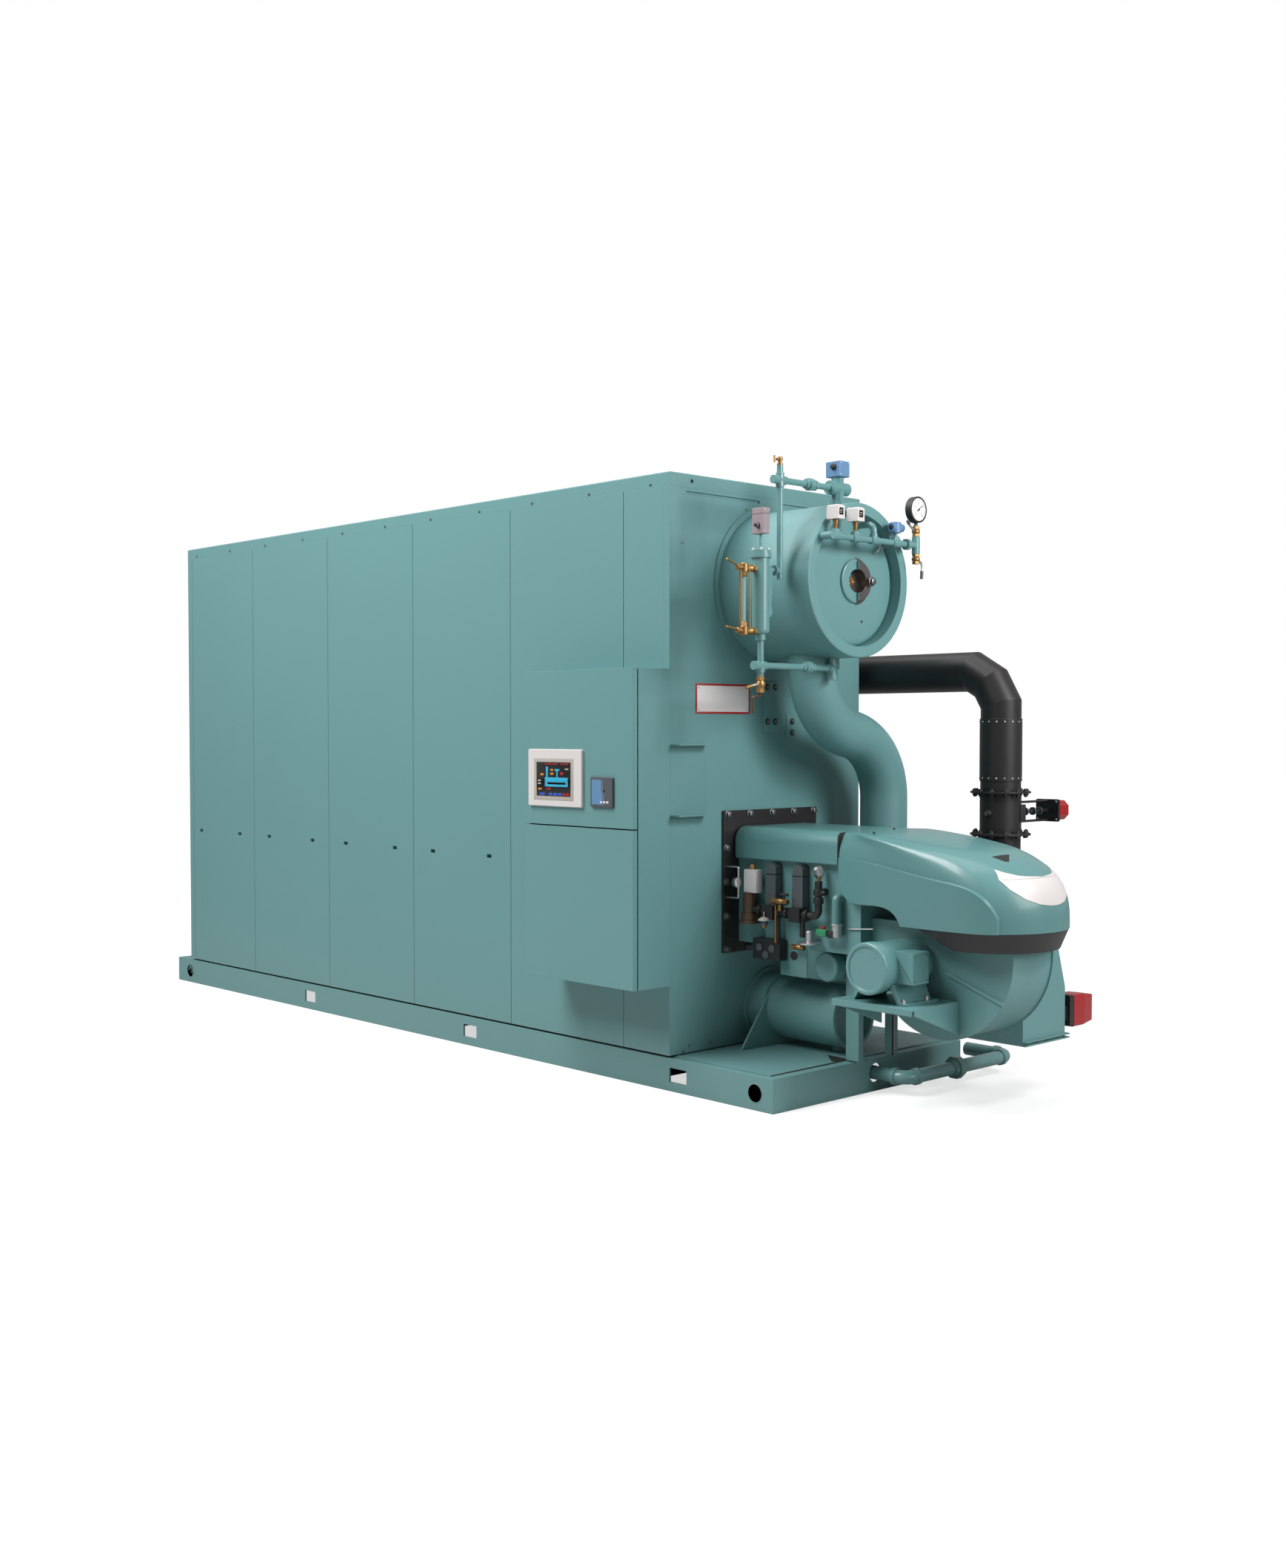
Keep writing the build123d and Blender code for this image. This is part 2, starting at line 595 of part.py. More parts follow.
NOSE_LEVELS = (
    (0.0, 5.0, 0.0, 0.0),
    (0.152, 6.0, 0.0, 0.0),
    (0.289, 12.0, 0.0, 0.0),
    (0.444, 31.0, 4.0, 0.0),
    (0.579, 68.0, 8.0, 0.0),
    (0.703, 130.0, 12.0, 2.0),
    (0.826, 232.0, 18.0, 8.0),
    (0.923, 400.0, 28.0, 22.0),
    (0.978, 550.0, 44.0, 38.0),
    (1.0, 640.0, 66.0, 58.0),
    (1.014, 710.0, 88.0, 80.0),
)
NOSE_TALL = NECK_TOP - BAND_TOP
NOSE_BODY_HALF = NOSE_HALF - NOSE_INSET
CREASE = ((0.0, 255.0), (121.0, 252.0), (370.0, 222.0), (560.0, 196.0), (735.0, 150.0), (800.0, 60.0))
SKIRT = ((0.0, 156.0), (20.0, 118.0), (52.0, 88.0), (125.0, 70.0), (366.0, 0.0))

with BuildPart() as nose_shell:
    for share, back, narrow, rear_narrow in NOSE_LEVELS:
        height = BAND_TOP + share * NOSE_TALL
        add(nose_plan(height, NOSE_REACH - back, NOSE_BODY_HALF - narrow, NECK_HALF - 2 - rear_narrow))
    loft()
    block((-NOSE_HALF, ahead(NOSE_REACH), NECK_TOP), (NOSE_HALF, ahead(NOSE_START - 5), NECK_TOP + 30), Mode.SUBTRACT)

with BuildPart() as nose_fender:
    extrude(nose_plan(BAND_TOP, NOSE_REACH, NOSE_HALF, NECK_HALF), amount=NOSE_TALL)
    with BuildSketch(Plane.YZ.offset(-NOSE_HALF - 50)) as fender_side:
        with BuildLine():
            crease = Spline(*((ahead(NOSE_START + d), BAND_TOP + h) for d, h in CREASE))
            Polyline(crease @ 1, (ahead(NOSE_START + CREASE[-1][0]), BAND_TOP), (ahead(NOSE_START), BAND_TOP), crease @ 0)
        make_face()
    extrude(fender_side.sketch, amount=2 * NOSE_HALF + 100, mode=Mode.INTERSECT)

with BuildPart() as burner_nose:
    add(nose_shell.part)
    add(nose_fender.part)
    # The skirt sweeps up at the back to show the housing and the fan's neck
    with BuildSketch(Plane.YZ.offset(-NOSE_HALF - 50)) as under_skirt:
        with BuildLine():
            skirt = Spline(*((ahead(NOSE_START + d), BAND_TOP + h) for d, h in SKIRT))
            Polyline(skirt @ 1, (ahead(NOSE_START), BAND_TOP), skirt @ 0)
        make_face()
    extrude(under_skirt.sketch, amount=2 * NOSE_HALF + 100, mode=Mode.SUBTRACT)
    block(
        (-HOUSING_HALF - SEAT, ahead(HOUSING_REACH + 1), BAND_TOP - 100),
        (HOUSING_HALF + SEAT, ahead(NOSE_START - 10), NECK_BOTTOM + SEAT),
        Mode.SUBTRACT,
    )
write(burner_nose, "burner_nose")

with BuildPart() as nose_band:
    for height, inward in ((BAND_TOP - SEAT, BAND_IN), (BAND_BOTTOM, BAND_IN + BAND_TALL * tan(radians(BAND_SLOPE)))):
        add(nose_plan(height, NOSE_REACH - inward, NOSE_HALF - inward, NECK_HALF - inward))
    loft()
    with BuildSketch(Plane.YZ.offset(-NOSE_HALF - 50)) as band_rear:
        with BuildLine():
            Polyline(
                (ahead(NOSE_START) + 50, BAND_TOP + 10),
                (ahead(BAND_REAR) + 20, BAND_TOP + 10),
                (ahead(BAND_REAR), BAND_TOP),
                (ahead(BAND_REAR + BAND_REAR_SLANT), BAND_BOTTOM),
                (ahead(BAND_REAR + BAND_REAR_SLANT) - 20, BAND_BOTTOM - 10),
                (ahead(NOSE_START) + 50, BAND_BOTTOM - 10),
                close=True,
            )
        make_face()
    extrude(band_rear.sketch, amount=2 * NOSE_HALF + 100, mode=Mode.SUBTRACT)
write(nose_band, "nose_band")

# Fan scroll under the nose: wrapper, two side plates with lips and a stiffening rib
RIB_START = (FAN_AHEAD + 41, FAN_HEIGHT - 76)
RIB_END = (FAN_AHEAD + 310, FAN_HEIGHT - 173)
with BuildPart() as fan_scroll:
    wrap = FAN_R - FAN_LIP
    disc((-FAN_HALF + FAN_SIDE, ahead(FAN_AHEAD), FAN_HEIGHT), wrap, 2 * (FAN_HALF - FAN_SIDE), RIGHTWARD)
    for x in (-FAN_HALF, FAN_HALF - FAN_SIDE):
        disc((x, ahead(FAN_AHEAD), FAN_HEIGHT), FAN_R, FAN_SIDE, RIGHTWARD)
    block(
        (-FAN_HALF - 1, ahead(FAN_AHEAD + FAN_R + 1), BAND_BOTTOM - SEAT),
        (FAN_HALF + 1, ahead(FAN_AHEAD - FAN_R - 1), FAN_HEIGHT + FAN_R + 1),
        Mode.SUBTRACT,
    )
    # Its neck fills the space between the housing and the band's slanted rear
    with BuildSketch(Plane.YZ.offset(-FAN_HALF)) as neck:
        with BuildLine():
            Polyline(
                (ahead(HOUSING_REACH + SEAT), BAND_BOTTOM - 5),
                (ahead(HOUSING_REACH + SEAT), BAND_TOP - SEAT),
                (ahead(BAND_REAR - 1), BAND_TOP - SEAT),
                (ahead(BAND_REAR + BAND_REAR_SLANT - 1), BAND_BOTTOM - SEAT),
                (ahead(BAND_REAR + BAND_REAR_SLANT - 1), BAND_BOTTOM - 5),
                close=True,
            )
        make_face()
    extrude(neck.sketch, amount=2 * FAN_HALF)
    rib_run = hypot(RIB_END[0] - RIB_START[0], RIB_END[1] - RIB_START[1])
    rib_tilt = degrees(atan2(RIB_END[1] - RIB_START[1], RIB_END[0] - RIB_START[0]))
    rib_middle = (-FAN_HALF - FAN_RIB / 2, ahead((RIB_START[0] + RIB_END[0]) / 2), (RIB_START[1] + RIB_END[1]) / 2)
    with Locations(Location(rib_middle, (-rib_tilt, 0, 0))):
        Box(FAN_RIB, rib_run, FAN_RIB)
write(fan_scroll, "fan_scroll")

# Motor on its folded shelf beside the scroll
with BuildPart() as motor_shelf:
    block(
        (-SHELF_OUT, ahead(SHELF_NEAR), SHELF_HEIGHT - SHELF_THICK),
        (-FAN_HALF - SEAT, ahead(SHELF_FAR), SHELF_HEIGHT),
    )
    block(
        (-SHELF_OUT, ahead(SHELF_NEAR), SHELF_HEIGHT - SHELF_LIP),
        (-SHELF_OUT + SHELF_THICK, ahead(SHELF_FAR), SHELF_HEIGHT),
    )
    for y in (ahead(SHELF_NEAR), ahead(SHELF_FAR) - SHELF_THICK):
        with BuildSketch(Plane(origin=(0, y, 0), x_dir=(1, 0, 0), z_dir=(0, -1, 0))) as gusset:
            with BuildLine():
                Polyline(
                    (-SHELF_OUT + 25, SHELF_HEIGHT - SHELF_THICK),
                    (-FAN_HALF - SEAT, SHELF_HEIGHT - SHELF_THICK),
                    (-FAN_HALF - SEAT, SHELF_HEIGHT - SHELF_RIB_DROP),
                    (-SHELF_OUT + 25, SHELF_HEIGHT - SHELF_LIP),
                    close=True,
                )
            make_face()
        extrude(gusset.sketch, amount=-SHELF_THICK)
write(motor_shelf, "motor_shelf")

FOOT_SPREAD = 118.0
FOOT_TOE = 34.0
FOOT_SHEET = 9.0
FOOT_START = -MOTOR_OUT + BELL_LONG + 12
CONDUIT = (-384.0, -281.0, 1020.0, 1120.0, -57.0, 70.0)
with BuildPart() as fan_motor:
    # The bell's profile is revolved about the shaft: rounded shoulder, raised rim, shallow dish
    with BuildSketch(Plane(origin=(0, ahead(SHAFT_AHEAD), SHAFT_HEIGHT), x_dir=(-1, 0, 0), z_dir=(0, -1, 0))) as half:
        with BuildLine():
            shoulder = FilletPolyline(
                (FAN_HALF + 26, 0),
                (FAN_HALF + 26, MOTOR_BODY_R),
                (MOTOR_OUT - BELL_LONG, MOTOR_BODY_R),
                (MOTOR_OUT - BELL_LONG, MOTOR_R),
                (MOTOR_OUT, MOTOR_R),
                (MOTOR_OUT, MOTOR_R - BELL_RIM),
                (MOTOR_OUT - BELL_DISH, MOTOR_R - BELL_RIM - 4),
                (MOTOR_OUT - BELL_DISH, 0),
                radius=(7, 2, 2, 9, 5, 2),
            )
            Line(shoulder @ 1, shoulder @ 0)
        make_face()
    revolve(half.sketch, axis=Axis((0, ahead(SHAFT_AHEAD), SHAFT_HEIGHT), (1, 0, 0)))
    disc((-FAN_HALF - SEAT, ahead(SHAFT_AHEAD), SHAFT_HEIGHT), MOTOR_R * 0.8, 40, LEFTWARD)
    foot_z = SHELF_HEIGHT + SEAT
    for side in (-1, 1):
        with BuildSketch(Plane(origin=(FOOT_START, ahead(SHAFT_AHEAD), 0), x_dir=(0, 1, 0), z_dir=(1, 0, 0))) as foot:
            with BuildLine():
                Polyline(
                    (side * (FOOT_SPREAD - 50), SHAFT_HEIGHT - 70),
                    (side * (FOOT_SPREAD - 34), SHAFT_HEIGHT - 60),
                    (side * FOOT_SPREAD, foot_z + FOOT_SHEET),
                    (side * (FOOT_SPREAD + FOOT_TOE), foot_z + FOOT_SHEET),
                    (side * (FOOT_SPREAD + FOOT_TOE), foot_z),
                    (side * (FOOT_SPREAD - 8), foot_z),
                    close=True,
                )
            make_face()
        extrude(foot.sketch, amount=-FOOT_START - FAN_HALF - 60)
    left, right, far, near, down, up = CONDUIT
    block((left, ahead(near), SHAFT_HEIGHT + down), (right, ahead(far), SHAFT_HEIGHT + up))
write(fan_motor, "fan_motor")

# Two channel posts carry the burner from the skid
POST_FRONT = 635.0
POSTS = ((-126.0, 32.0, 70.0), (96.0, 45.0, 35.0))
POST_WALL = 6.0
with BuildPart() as burner_post:
    for x, wide, deep in POSTS:
        block((x, ahead(POST_FRONT), DECK_TOP + SEAT), (x + wide, ahead(POST_FRONT - deep), HOUSING_BOTTOM))
        block(
            (x + POST_WALL, ahead(POST_FRONT - POST_WALL), DECK_TOP + SEAT + POST_WALL),
            (x + wide + 1, ahead(POST_FRONT - deep + POST_WALL), HOUSING_BOTTOM - POST_WALL),
            Mode.SUBTRACT,
        )
write(burner_post, "burner_posts")

# Air intake box beside the fan, and its damper's drive
with BuildPart() as intake_box:
    with BuildSketch(Plane(origin=(0, ahead(BOX_FAR), 0), x_dir=(1, 0, 0), z_dir=(0, -1, 0))) as box_end:
        with BuildLine():
            Polyline(
                (FAN_HALF + SEAT, BOX_BOTTOM),
                (BOX_HALF_TO, BOX_BOTTOM),
                (BOX_HALF_TO, BOX_SHOULDER),
                (BOX_HALF_TO - BOX_SLOPE, BAND_BOTTOM - 1),
                (FAN_HALF + SEAT, BAND_BOTTOM - 1),
                close=True,
            )
        make_face()
    extrude(box_end.sketch, amount=BOX_NEAR - BOX_FAR)
    for z in (BOX_BOTTOM, BOX_BOTTOM + 3 * BOX_FLANGE_THICK):
        block(
            (FAN_HALF + SEAT, ahead(BOX_NEAR + BOX_FLANGE), z - BOX_FLANGE_THICK),
            (BOX_HALF_TO + BOX_FLANGE, ahead(BOX_FAR - BOX_FLANGE), z),
        )
write(intake_box, "intake_box")

DRIVE_FOOT = (24.0, 50.0, 340.0, 400.0)
DRIVE_PLATE = (30.0, 1200.0, 1290.0, 315.0, 446.0)
DRIVE_CAP = (1201.0, 1291.0, 309.0, 444.0, 80.0, 157.0)
with BuildPart() as intake_actuator:
    reach, deep, low, high = DRIVE_FOOT
    block((BOX_HALF_TO, ahead(BOX_NEAR - 5), low), (BOX_HALF_TO + reach, ahead(BOX_NEAR - 5 - deep), high))
    thick, far, near, low, high = DRIVE_PLATE
    block((BOX_HALF_TO + reach, ahead(near), low), (BOX_HALF_TO + reach + thick, ahead(far), high))
    fillet(intake_actuator.edges().filter_by(Axis.X).filter_by(lambda e: e.center().X > BOX_HALF_TO + 30), 8)
write(intake_actuator, "intake_actuator")

CAP_START = BOX_HALF_TO + DRIVE_FOOT[0] + DRIVE_PLATE[0]
with BuildPart() as intake_actuator_cap:
    far, near, low, high, straight, whole = DRIVE_CAP
    block((CAP_START, ahead(near), low), (CAP_START + straight, ahead(far), high))
    fillet(intake_actuator_cap.edges().filter_by(Axis.X), 12)
    outer = Plane(origin=(CAP_START + straight, ahead((near + far) / 2), (low + high) / 2), x_dir=(0, 1, 0), z_dir=(1, 0, 0))
    with BuildSketch(outer) as wide_end:
        RectangleRounded(near - far, high - low, 12)
    extrude(wide_end.sketch, amount=whole - straight, taper=9)
write(intake_actuator_cap, "intake_actuator_cap")

# Gas header across the back of the posts
HEADER_R = 64.0
HEADER_HEIGHT = 548.0
HEADER_LEFT = -186.0
HEADER_RIGHT = 214.0
HEADER_BACK = POST_FRONT - POSTS[0][2]
with BuildPart() as gas_header:
    header = (HEADER_LEFT, ahead(HEADER_BACK - HEADER_R - SEAT), HEADER_HEIGHT)
    disc(header, HEADER_R, HEADER_RIGHT - HEADER_LEFT, RIGHTWARD)
    fillet(gas_header.edges().filter_by(GeomType.CIRCLE).sort_by(Axis.X)[0], 10)
    disc((header[0] + 60, header[1], HEADER_HEIGHT), 20, HOUSING_BOTTOM - HEADER_HEIGHT, UPWARD)
write(gas_header, "gas_header")

# Gas train beside the housing: black pipe, grey valve drives, brass bodies
TRAIN_OUT = 47.0
TRAIN_X = -HOUSING_HALF - TRAIN_OUT
MAIN_HEIGHT = 775.0
MAIN_R = 16.0
MAIN_FAR = 135.0
FILTER_AHEAD = 122.0
STUB_AHEAD = 196.0
MAIN_NEAR = 523.0
RISER_TOP = 925.0
DRIVE_AT = (247.0, 403.0)
DRIVE_LONG = 59.0
DRIVE_WIDE = 40.0
DRIVE_BOTTOM = 803.0
DRIVE_TOP = 984.0
FILTER_BODY = ((714.0, 46.0, 12.0), (722.0, 38.0, 36.0), (756.0, 30.0, 92.0))
with BuildPart() as gas_train:
    tube(
        (
            (TRAIN_X, ahead(MAIN_FAR), MAIN_HEIGHT),
            (TRAIN_X, ahead(MAIN_NEAR), MAIN_HEIGHT),
            (TRAIN_X, ahead(MAIN_NEAR), RISER_TOP),
        ),
        (26,),
        MAIN_R,
    )
    for z in (RISER_TOP - 60, MAIN_HEIGHT + 55):
        disc((TRAIN_X, ahead(MAIN_NEAR), z), MAIN_R + 6, 24, UPWARD)
    disc((TRAIN_X, ahead(MAIN_NEAR), RISER_TOP - 48), MAIN_R, TRAIN_OUT - SEAT, RIGHTWARD)
    disc((TRAIN_X, ahead(MAIN_NEAR), RISER_TOP - 48), 9, 38, FORWARD)
    for distance in DRIVE_AT:
        block(
            (TRAIN_X - 24, ahead(distance + 32), MAIN_HEIGHT - 34),
            (TRAIN_X + 28, ahead(distance - 32), DRIVE_BOTTOM - SEAT),
        )
        disc((TRAIN_X, ahead(distance + 48), MAIN_HEIGHT), MAIN_R + 8, 16, FORWARD)
        disc((TRAIN_X, ahead(distance - 48), MAIN_HEIGHT), MAIN_R + 8, 16, REARWARD)
    disc((TRAIN_X, ahead(DRIVE_AT[1] + 30), MAIN_HEIGHT), 12, -MAIN_HEIGHT + HEADER_HEIGHT + 130, UPWARD)
    disc((TRAIN_X, ahead(STUB_AHEAD), MAIN_HEIGHT), MAIN_R - 3, TRAIN_OUT - SEAT, RIGHTWARD)
    for foot, radius, tall in FILTER_BODY:
        disc((TRAIN_X, ahead(FILTER_AHEAD), foot - SEAT), radius + SEAT, tall + 2 * SEAT, UPWARD, Mode.SUBTRACT)
    # Pilot valve drive on its stub under the main run
    block((TRAIN_X - 8, ahead(308), 562), (TRAIN_X + 40, ahead(150), 652))
    disc((TRAIN_X + 15, ahead(281), 640), 9, MAIN_HEIGHT - 640, UPWARD)
write(gas_train, "gas_train")

with BuildPart() as gas_actuators:
    for distance in DRIVE_AT:
        near, far = ahead(distance + DRIVE_LONG / 2), ahead(distance - DRIVE_LONG / 2)
        with BuildSketch(Plane(origin=(TRAIN_X, 0, 0), x_dir=(0, 1, 0), z_dir=(1, 0, 0))) as side_view:
            with BuildLine():
                Polyline(
                    (near, DRIVE_BOTTOM),
                    (near, DRIVE_TOP - 14),
                    (near + 12, DRIVE_TOP),
                    (far - 12, DRIVE_TOP),
                    (far, DRIVE_TOP - 40),
                    (far, DRIVE_BOTTOM),
                    close=True,
                )
            make_face()
        extrude(side_view.sketch, amount=DRIVE_WIDE)
write(gas_actuators, "gas_actuators")

with BuildPart() as gas_valves:
    # Amber filter body with its round cap, on a stub to the housing
    for foot, radius, tall in FILTER_BODY:
        disc((TRAIN_X, ahead(FILTER_AHEAD), foot), radius, tall, UPWARD)
    disc((TRAIN_X + 20, ahead(FILTER_AHEAD), 740), 14, TRAIN_OUT - 20 - SEAT, RIGHTWARD)
write(gas_valves, "gas_valves")

# Flue-gas duct along the right side, down to the fan's intake box
BEND_START = DUCT_AHEAD - DUCT_ELBOW
with BuildPart() as flue_duct:
    run_y = REAR - DUCT_REAR_IN
    disc((DUCT_SIDE, run_y, DUCT_HEIGHT), DUCT_R, run_y - ahead(BEND_START), FORWARD)
    disc((HALF, run_y - DUCT_R, DUCT_HEIGHT), DUCT_R * 0.98, DUCT_SIDE - HALF, RIGHTWARD)
write(flue_duct, "flue_duct")


def mitred_bend():
    """Corner points of the segmented elbow, as ahead and height from its centre."""
    step = 90 / DUCT_MITRES
    reach = DUCT_ELBOW / cos(radians(step / 2))
    angles = [radians(step * (n + 0.5)) for n in range(DUCT_MITRES)]
    return [(reach * sin(a), reach * cos(a)) for a in angles]


with BuildPart() as flue_elbow:
    centre_z = DUCT_HEIGHT - DUCT_ELBOW
    corners = [(DUCT_SIDE, ahead(BEND_START + a), centre_z + h) for a, h in mitred_bend()]
    tube(
        (
            (DUCT_SIDE, ahead(BEND_START), DUCT_HEIGHT),
            *corners,
            (DUCT_SIDE, ahead(DUCT_AHEAD), DAMPER_TOP),
        ),
        (),
        DUCT_R,
        Transition.RIGHT,
    )
    disc((DUCT_SIDE, ahead(DUCT_AHEAD), SLEEVE_TOP - SLEEVE_LONG), DUCT_R + SLEEVE_WALL, SLEEVE_LONG, UPWARD)
write(flue_elbow, "flue_elbow")

DAMPER_BOTTOM = DAMPER_TOP - DAMPER_LONG
DAMPER_MIDDLE = (DAMPER_TOP + DAMPER_BOTTOM) / 2
DRIVE_X = DUCT_SIDE + SHAFT_OUT
with BuildPart() as flue_damper:
    axis_y = ahead(DUCT_AHEAD)
    disc((DUCT_SIDE, axis_y, DAMPER_BOTTOM), DUCT_R + 2, DAMPER_LONG - SEAT, UPWARD)
    for z in (DAMPER_BOTTOM, DAMPER_TOP - SEAT - DAMPER_FLANGE_THICK):
        disc((DUCT_SIDE, axis_y, z), DUCT_R + DAMPER_FLANGE, DAMPER_FLANGE_THICK, UPWARD)
    disc((DUCT_SIDE - DUCT_R - 18, axis_y, DAMPER_MIDDLE), 15, 60, RIGHTWARD)
    disc((DUCT_SIDE, axis_y, DAMPER_MIDDLE), 9, SHAFT_OUT - SEAT, RIGHTWARD)
    disc((DUCT_SIDE + DUCT_R, axis_y, DAMPER_MIDDLE), 20, 60, RIGHTWARD)
    # Stand-off frame between the damper body and its drive
    for z in (DAMPER_MIDDLE - 45, DAMPER_MIDDLE + 45):
        disc((DUCT_SIDE + DUCT_R - 20, axis_y, z), 6, SHAFT_OUT - DUCT_R + 20 - SEAT, RIGHTWARD)
write(flue_damper, "flue_damper")

with BuildPart() as flue_actuator:
    plate = (DRIVE_X, axis_y, DAMPER_MIDDLE)
    block((plate[0], plate[1] - 62, plate[2] - 53), (plate[0] + 14, plate[1] + 62, plate[2] + 53))
    fillet(flue_actuator.edges().filter_by(Axis.X), 8)
write(flue_actuator, "flue_actuator")

with BuildPart() as flue_actuator_cap:
    face = Plane(origin=(DRIVE_X + 14, axis_y, DAMPER_MIDDLE), x_dir=(0, 1, 0), z_dir=(1, 0, 0))
    with BuildSketch(face) as octagon:
        Rectangle(110, 92)
        chamfer(octagon.vertices(), 24)
    extrude(octagon.sketch, amount=92)
    chamfer(flue_actuator_cap.faces().sort_by(Axis.X)[-1].edges(), 8)
write(flue_actuator_cap, "flue_actuator_cap")

INTAKE_X = (FAN_HALF + BOX_HALF_TO) / 2
with BuildPart() as flue_drop:
    tube(
        (
            (DUCT_SIDE, axis_y, DAMPER_BOTTOM - SEAT),
            (DUCT_SIDE, axis_y, DROP_TURN),
            (INTAKE_X, axis_y, DROP_TURN),
            (INTAKE_X, ahead(BOX_FAR - SEAT), DROP_TURN),
        ),
        (),
        DUCT_R,
        Transition.RIGHT,
    )
write(flue_drop, "flue_drop")

# Control cabinet: folded sheets, closed by two hinged doors
FACE = -HALF - CABINET_DEPTH
RIM = FACE + DOOR_THICK + DOOR_GAP
CABINET_NEAR = FRONT + CABINET_FRONT
CABINET_FAR = CABINET_NEAR + CABINET_LENGTH
HINGE_R = 7.0
HINGE_PIN = 3.0
HINGE_PLAY = 0.4
HINGE_HALF = 34.0
HINGE_OUT = 8.0
HINGE_IN = 120.0
LEAF_THICK = 5.0
LEAF_ON_BOX = 34.0
LEAF_ON_DOOR = 22.0
HINGE_X = RIM - DOOR_GAP / 2
HINGE_Y = CABINET_FAR + HINGE_OUT


def hinge_leaf(x_far, z):
    """One half of a butt hinge: its barrel and the leaf that it turns on."""
    disc((HINGE_X, HINGE_Y, z), HINGE_R, HINGE_HALF, UPWARD)
    low, high = sorted((HINGE_X + (DOOR_GAP / 2 if x_far > HINGE_X else -DOOR_GAP / 2), x_far))
    block((low, CABINET_FAR + SEAT, z), (high, CABINET_FAR + LEAF_THICK, z + HINGE_HALF))


DOORS = (
    ("lower", CABINET_BOTTOM, CABINET_SEAM - DOOR_GAP / 2),
    ("upper", CABINET_SEAM + DOOR_GAP / 2, CABINET_TOP),
)
for name, low, high in DOORS:
    with BuildPart() as door:
        block((FACE, CABINET_NEAR, low), (FACE + DOOR_THICK, CABINET_FAR, high))
        for z in (low + HINGE_IN, high - HINGE_IN - HINGE_HALF):
            hinge_leaf(FACE + DOOR_THICK - LEAF_ON_DOOR, z)
            disc((HINGE_X, HINGE_Y, z - 1), HINGE_PIN + HINGE_PLAY, HINGE_HALF + 2, UPWARD, Mode.SUBTRACT)
    write(door, f"cabinet_door_{name}")

with BuildPart() as cabinet_box:
    t = CABINET_SHEET
    back = -HALF - t
    block((back, CABINET_NEAR, CABINET_BOTTOM), (-HALF, CABINET_FAR, CABINET_TOP))
    for y in (CABINET_NEAR, CABINET_FAR - t):
        block((RIM, y, CABINET_BOTTOM), (back - SEAT, y + t, CABINET_TOP))
    for z in (CABINET_BOTTOM, CABINET_SEAM - t / 2, CABINET_TOP - t):
        block((RIM, CABINET_NEAR + t + SEAT, z), (back - SEAT, CABINET_FAR - t - SEAT, z + t))
    for name, low, high in DOORS:
        for z in (low + HINGE_IN, high - HINGE_IN - HINGE_HALF):
            hinge_leaf(RIM + LEAF_ON_BOX, z - HINGE_HALF - 0.5)
            disc((HINGE_X, HINGE_Y, z - 1), HINGE_PIN, HINGE_HALF, UPWARD)
write(cabinet_box, "cabinet_box")

# Instruments on the upper door, placed from its near and lower edges
SCREEN = (316.0, 368.0, 84.0, 255.0, 14.0)
CONTROLLER = (118.0, 144.0, 90.0, 132.0, 12.0)
for label, (along, long, up, tall, thick) in (
    ("touch_screen", SCREEN),
    ("flame_controller", CONTROLLER),
):
    with BuildPart() as instrument:
        block(
            (FACE - thick, CABINET_NEAR + along, CABINET_SEAM + up),
            (FACE, CABINET_NEAR + along + long, CABINET_SEAM + up + tall),
        )
        fillet(instrument.edges().filter_by(Axis.X), 8)
        front = instrument.faces().sort_by(Axis.X)[0]
        chamfer(front.edges(), 3)
    write(instrument, label)

BRACKET_BOTTOM = 1193.0
BRACKET_TALL = 313.0
BRACKET_REACH = 212.0
BRACKET_OUT = 60.0
BRACKET_SHEET = 6.0
with BuildPart() as cabinet_bracket:
    bracket_top = BRACKET_BOTTOM + BRACKET_TALL
    for z in (BRACKET_BOTTOM, bracket_top - BRACKET_SHEET):
        block((-HALF, ahead(BRACKET_OUT), z), (-HALF + BRACKET_REACH, FRONT, z + BRACKET_SHEET))
    block((-HALF, ahead(BRACKET_SHEET), BRACKET_BOTTOM), (-HALF + BRACKET_REACH, FRONT, bracket_top))
write(cabinet_bracket, "cabinet_bracket")

# Water column and the piping round the upper drum
TRIM_AHEAD = 400.0
TRIM_Y = ahead(TRIM_AHEAD)
TRIM_R = 13.5
TOP_RISE = 72.0
COLUMN_X = -492.0
COLUMN_R = 37.0
COLUMN_LOW = -248.0
COLUMN_HIGH = 74.0
COLUMN_FLANGE_R = 46.0
COLUMN_FLANGE = 28.0
COLUMN_STEM = 68.0
SWITCH_WIDE = 37.0
SWITCH_DEEP = 68.0
SWITCH_TALL = 109.0
LOBES = (-152.0, -71.0, 9.0)
VENT_X = -374.0
VENT_LOW = -12.0
TOP_LINE = DRUM_TOP + TOP_RISE
COLUMN_BOTTOM = DRUM_HEIGHT + COLUMN_LOW
COLUMN_TOP = DRUM_HEIGHT + COLUMN_HIGH
LOWER_LINE = DRUM_UNDER - 44
SWITCH_BOTTOM = COLUMN_TOP + COLUMN_FLANGE + COLUMN_STEM

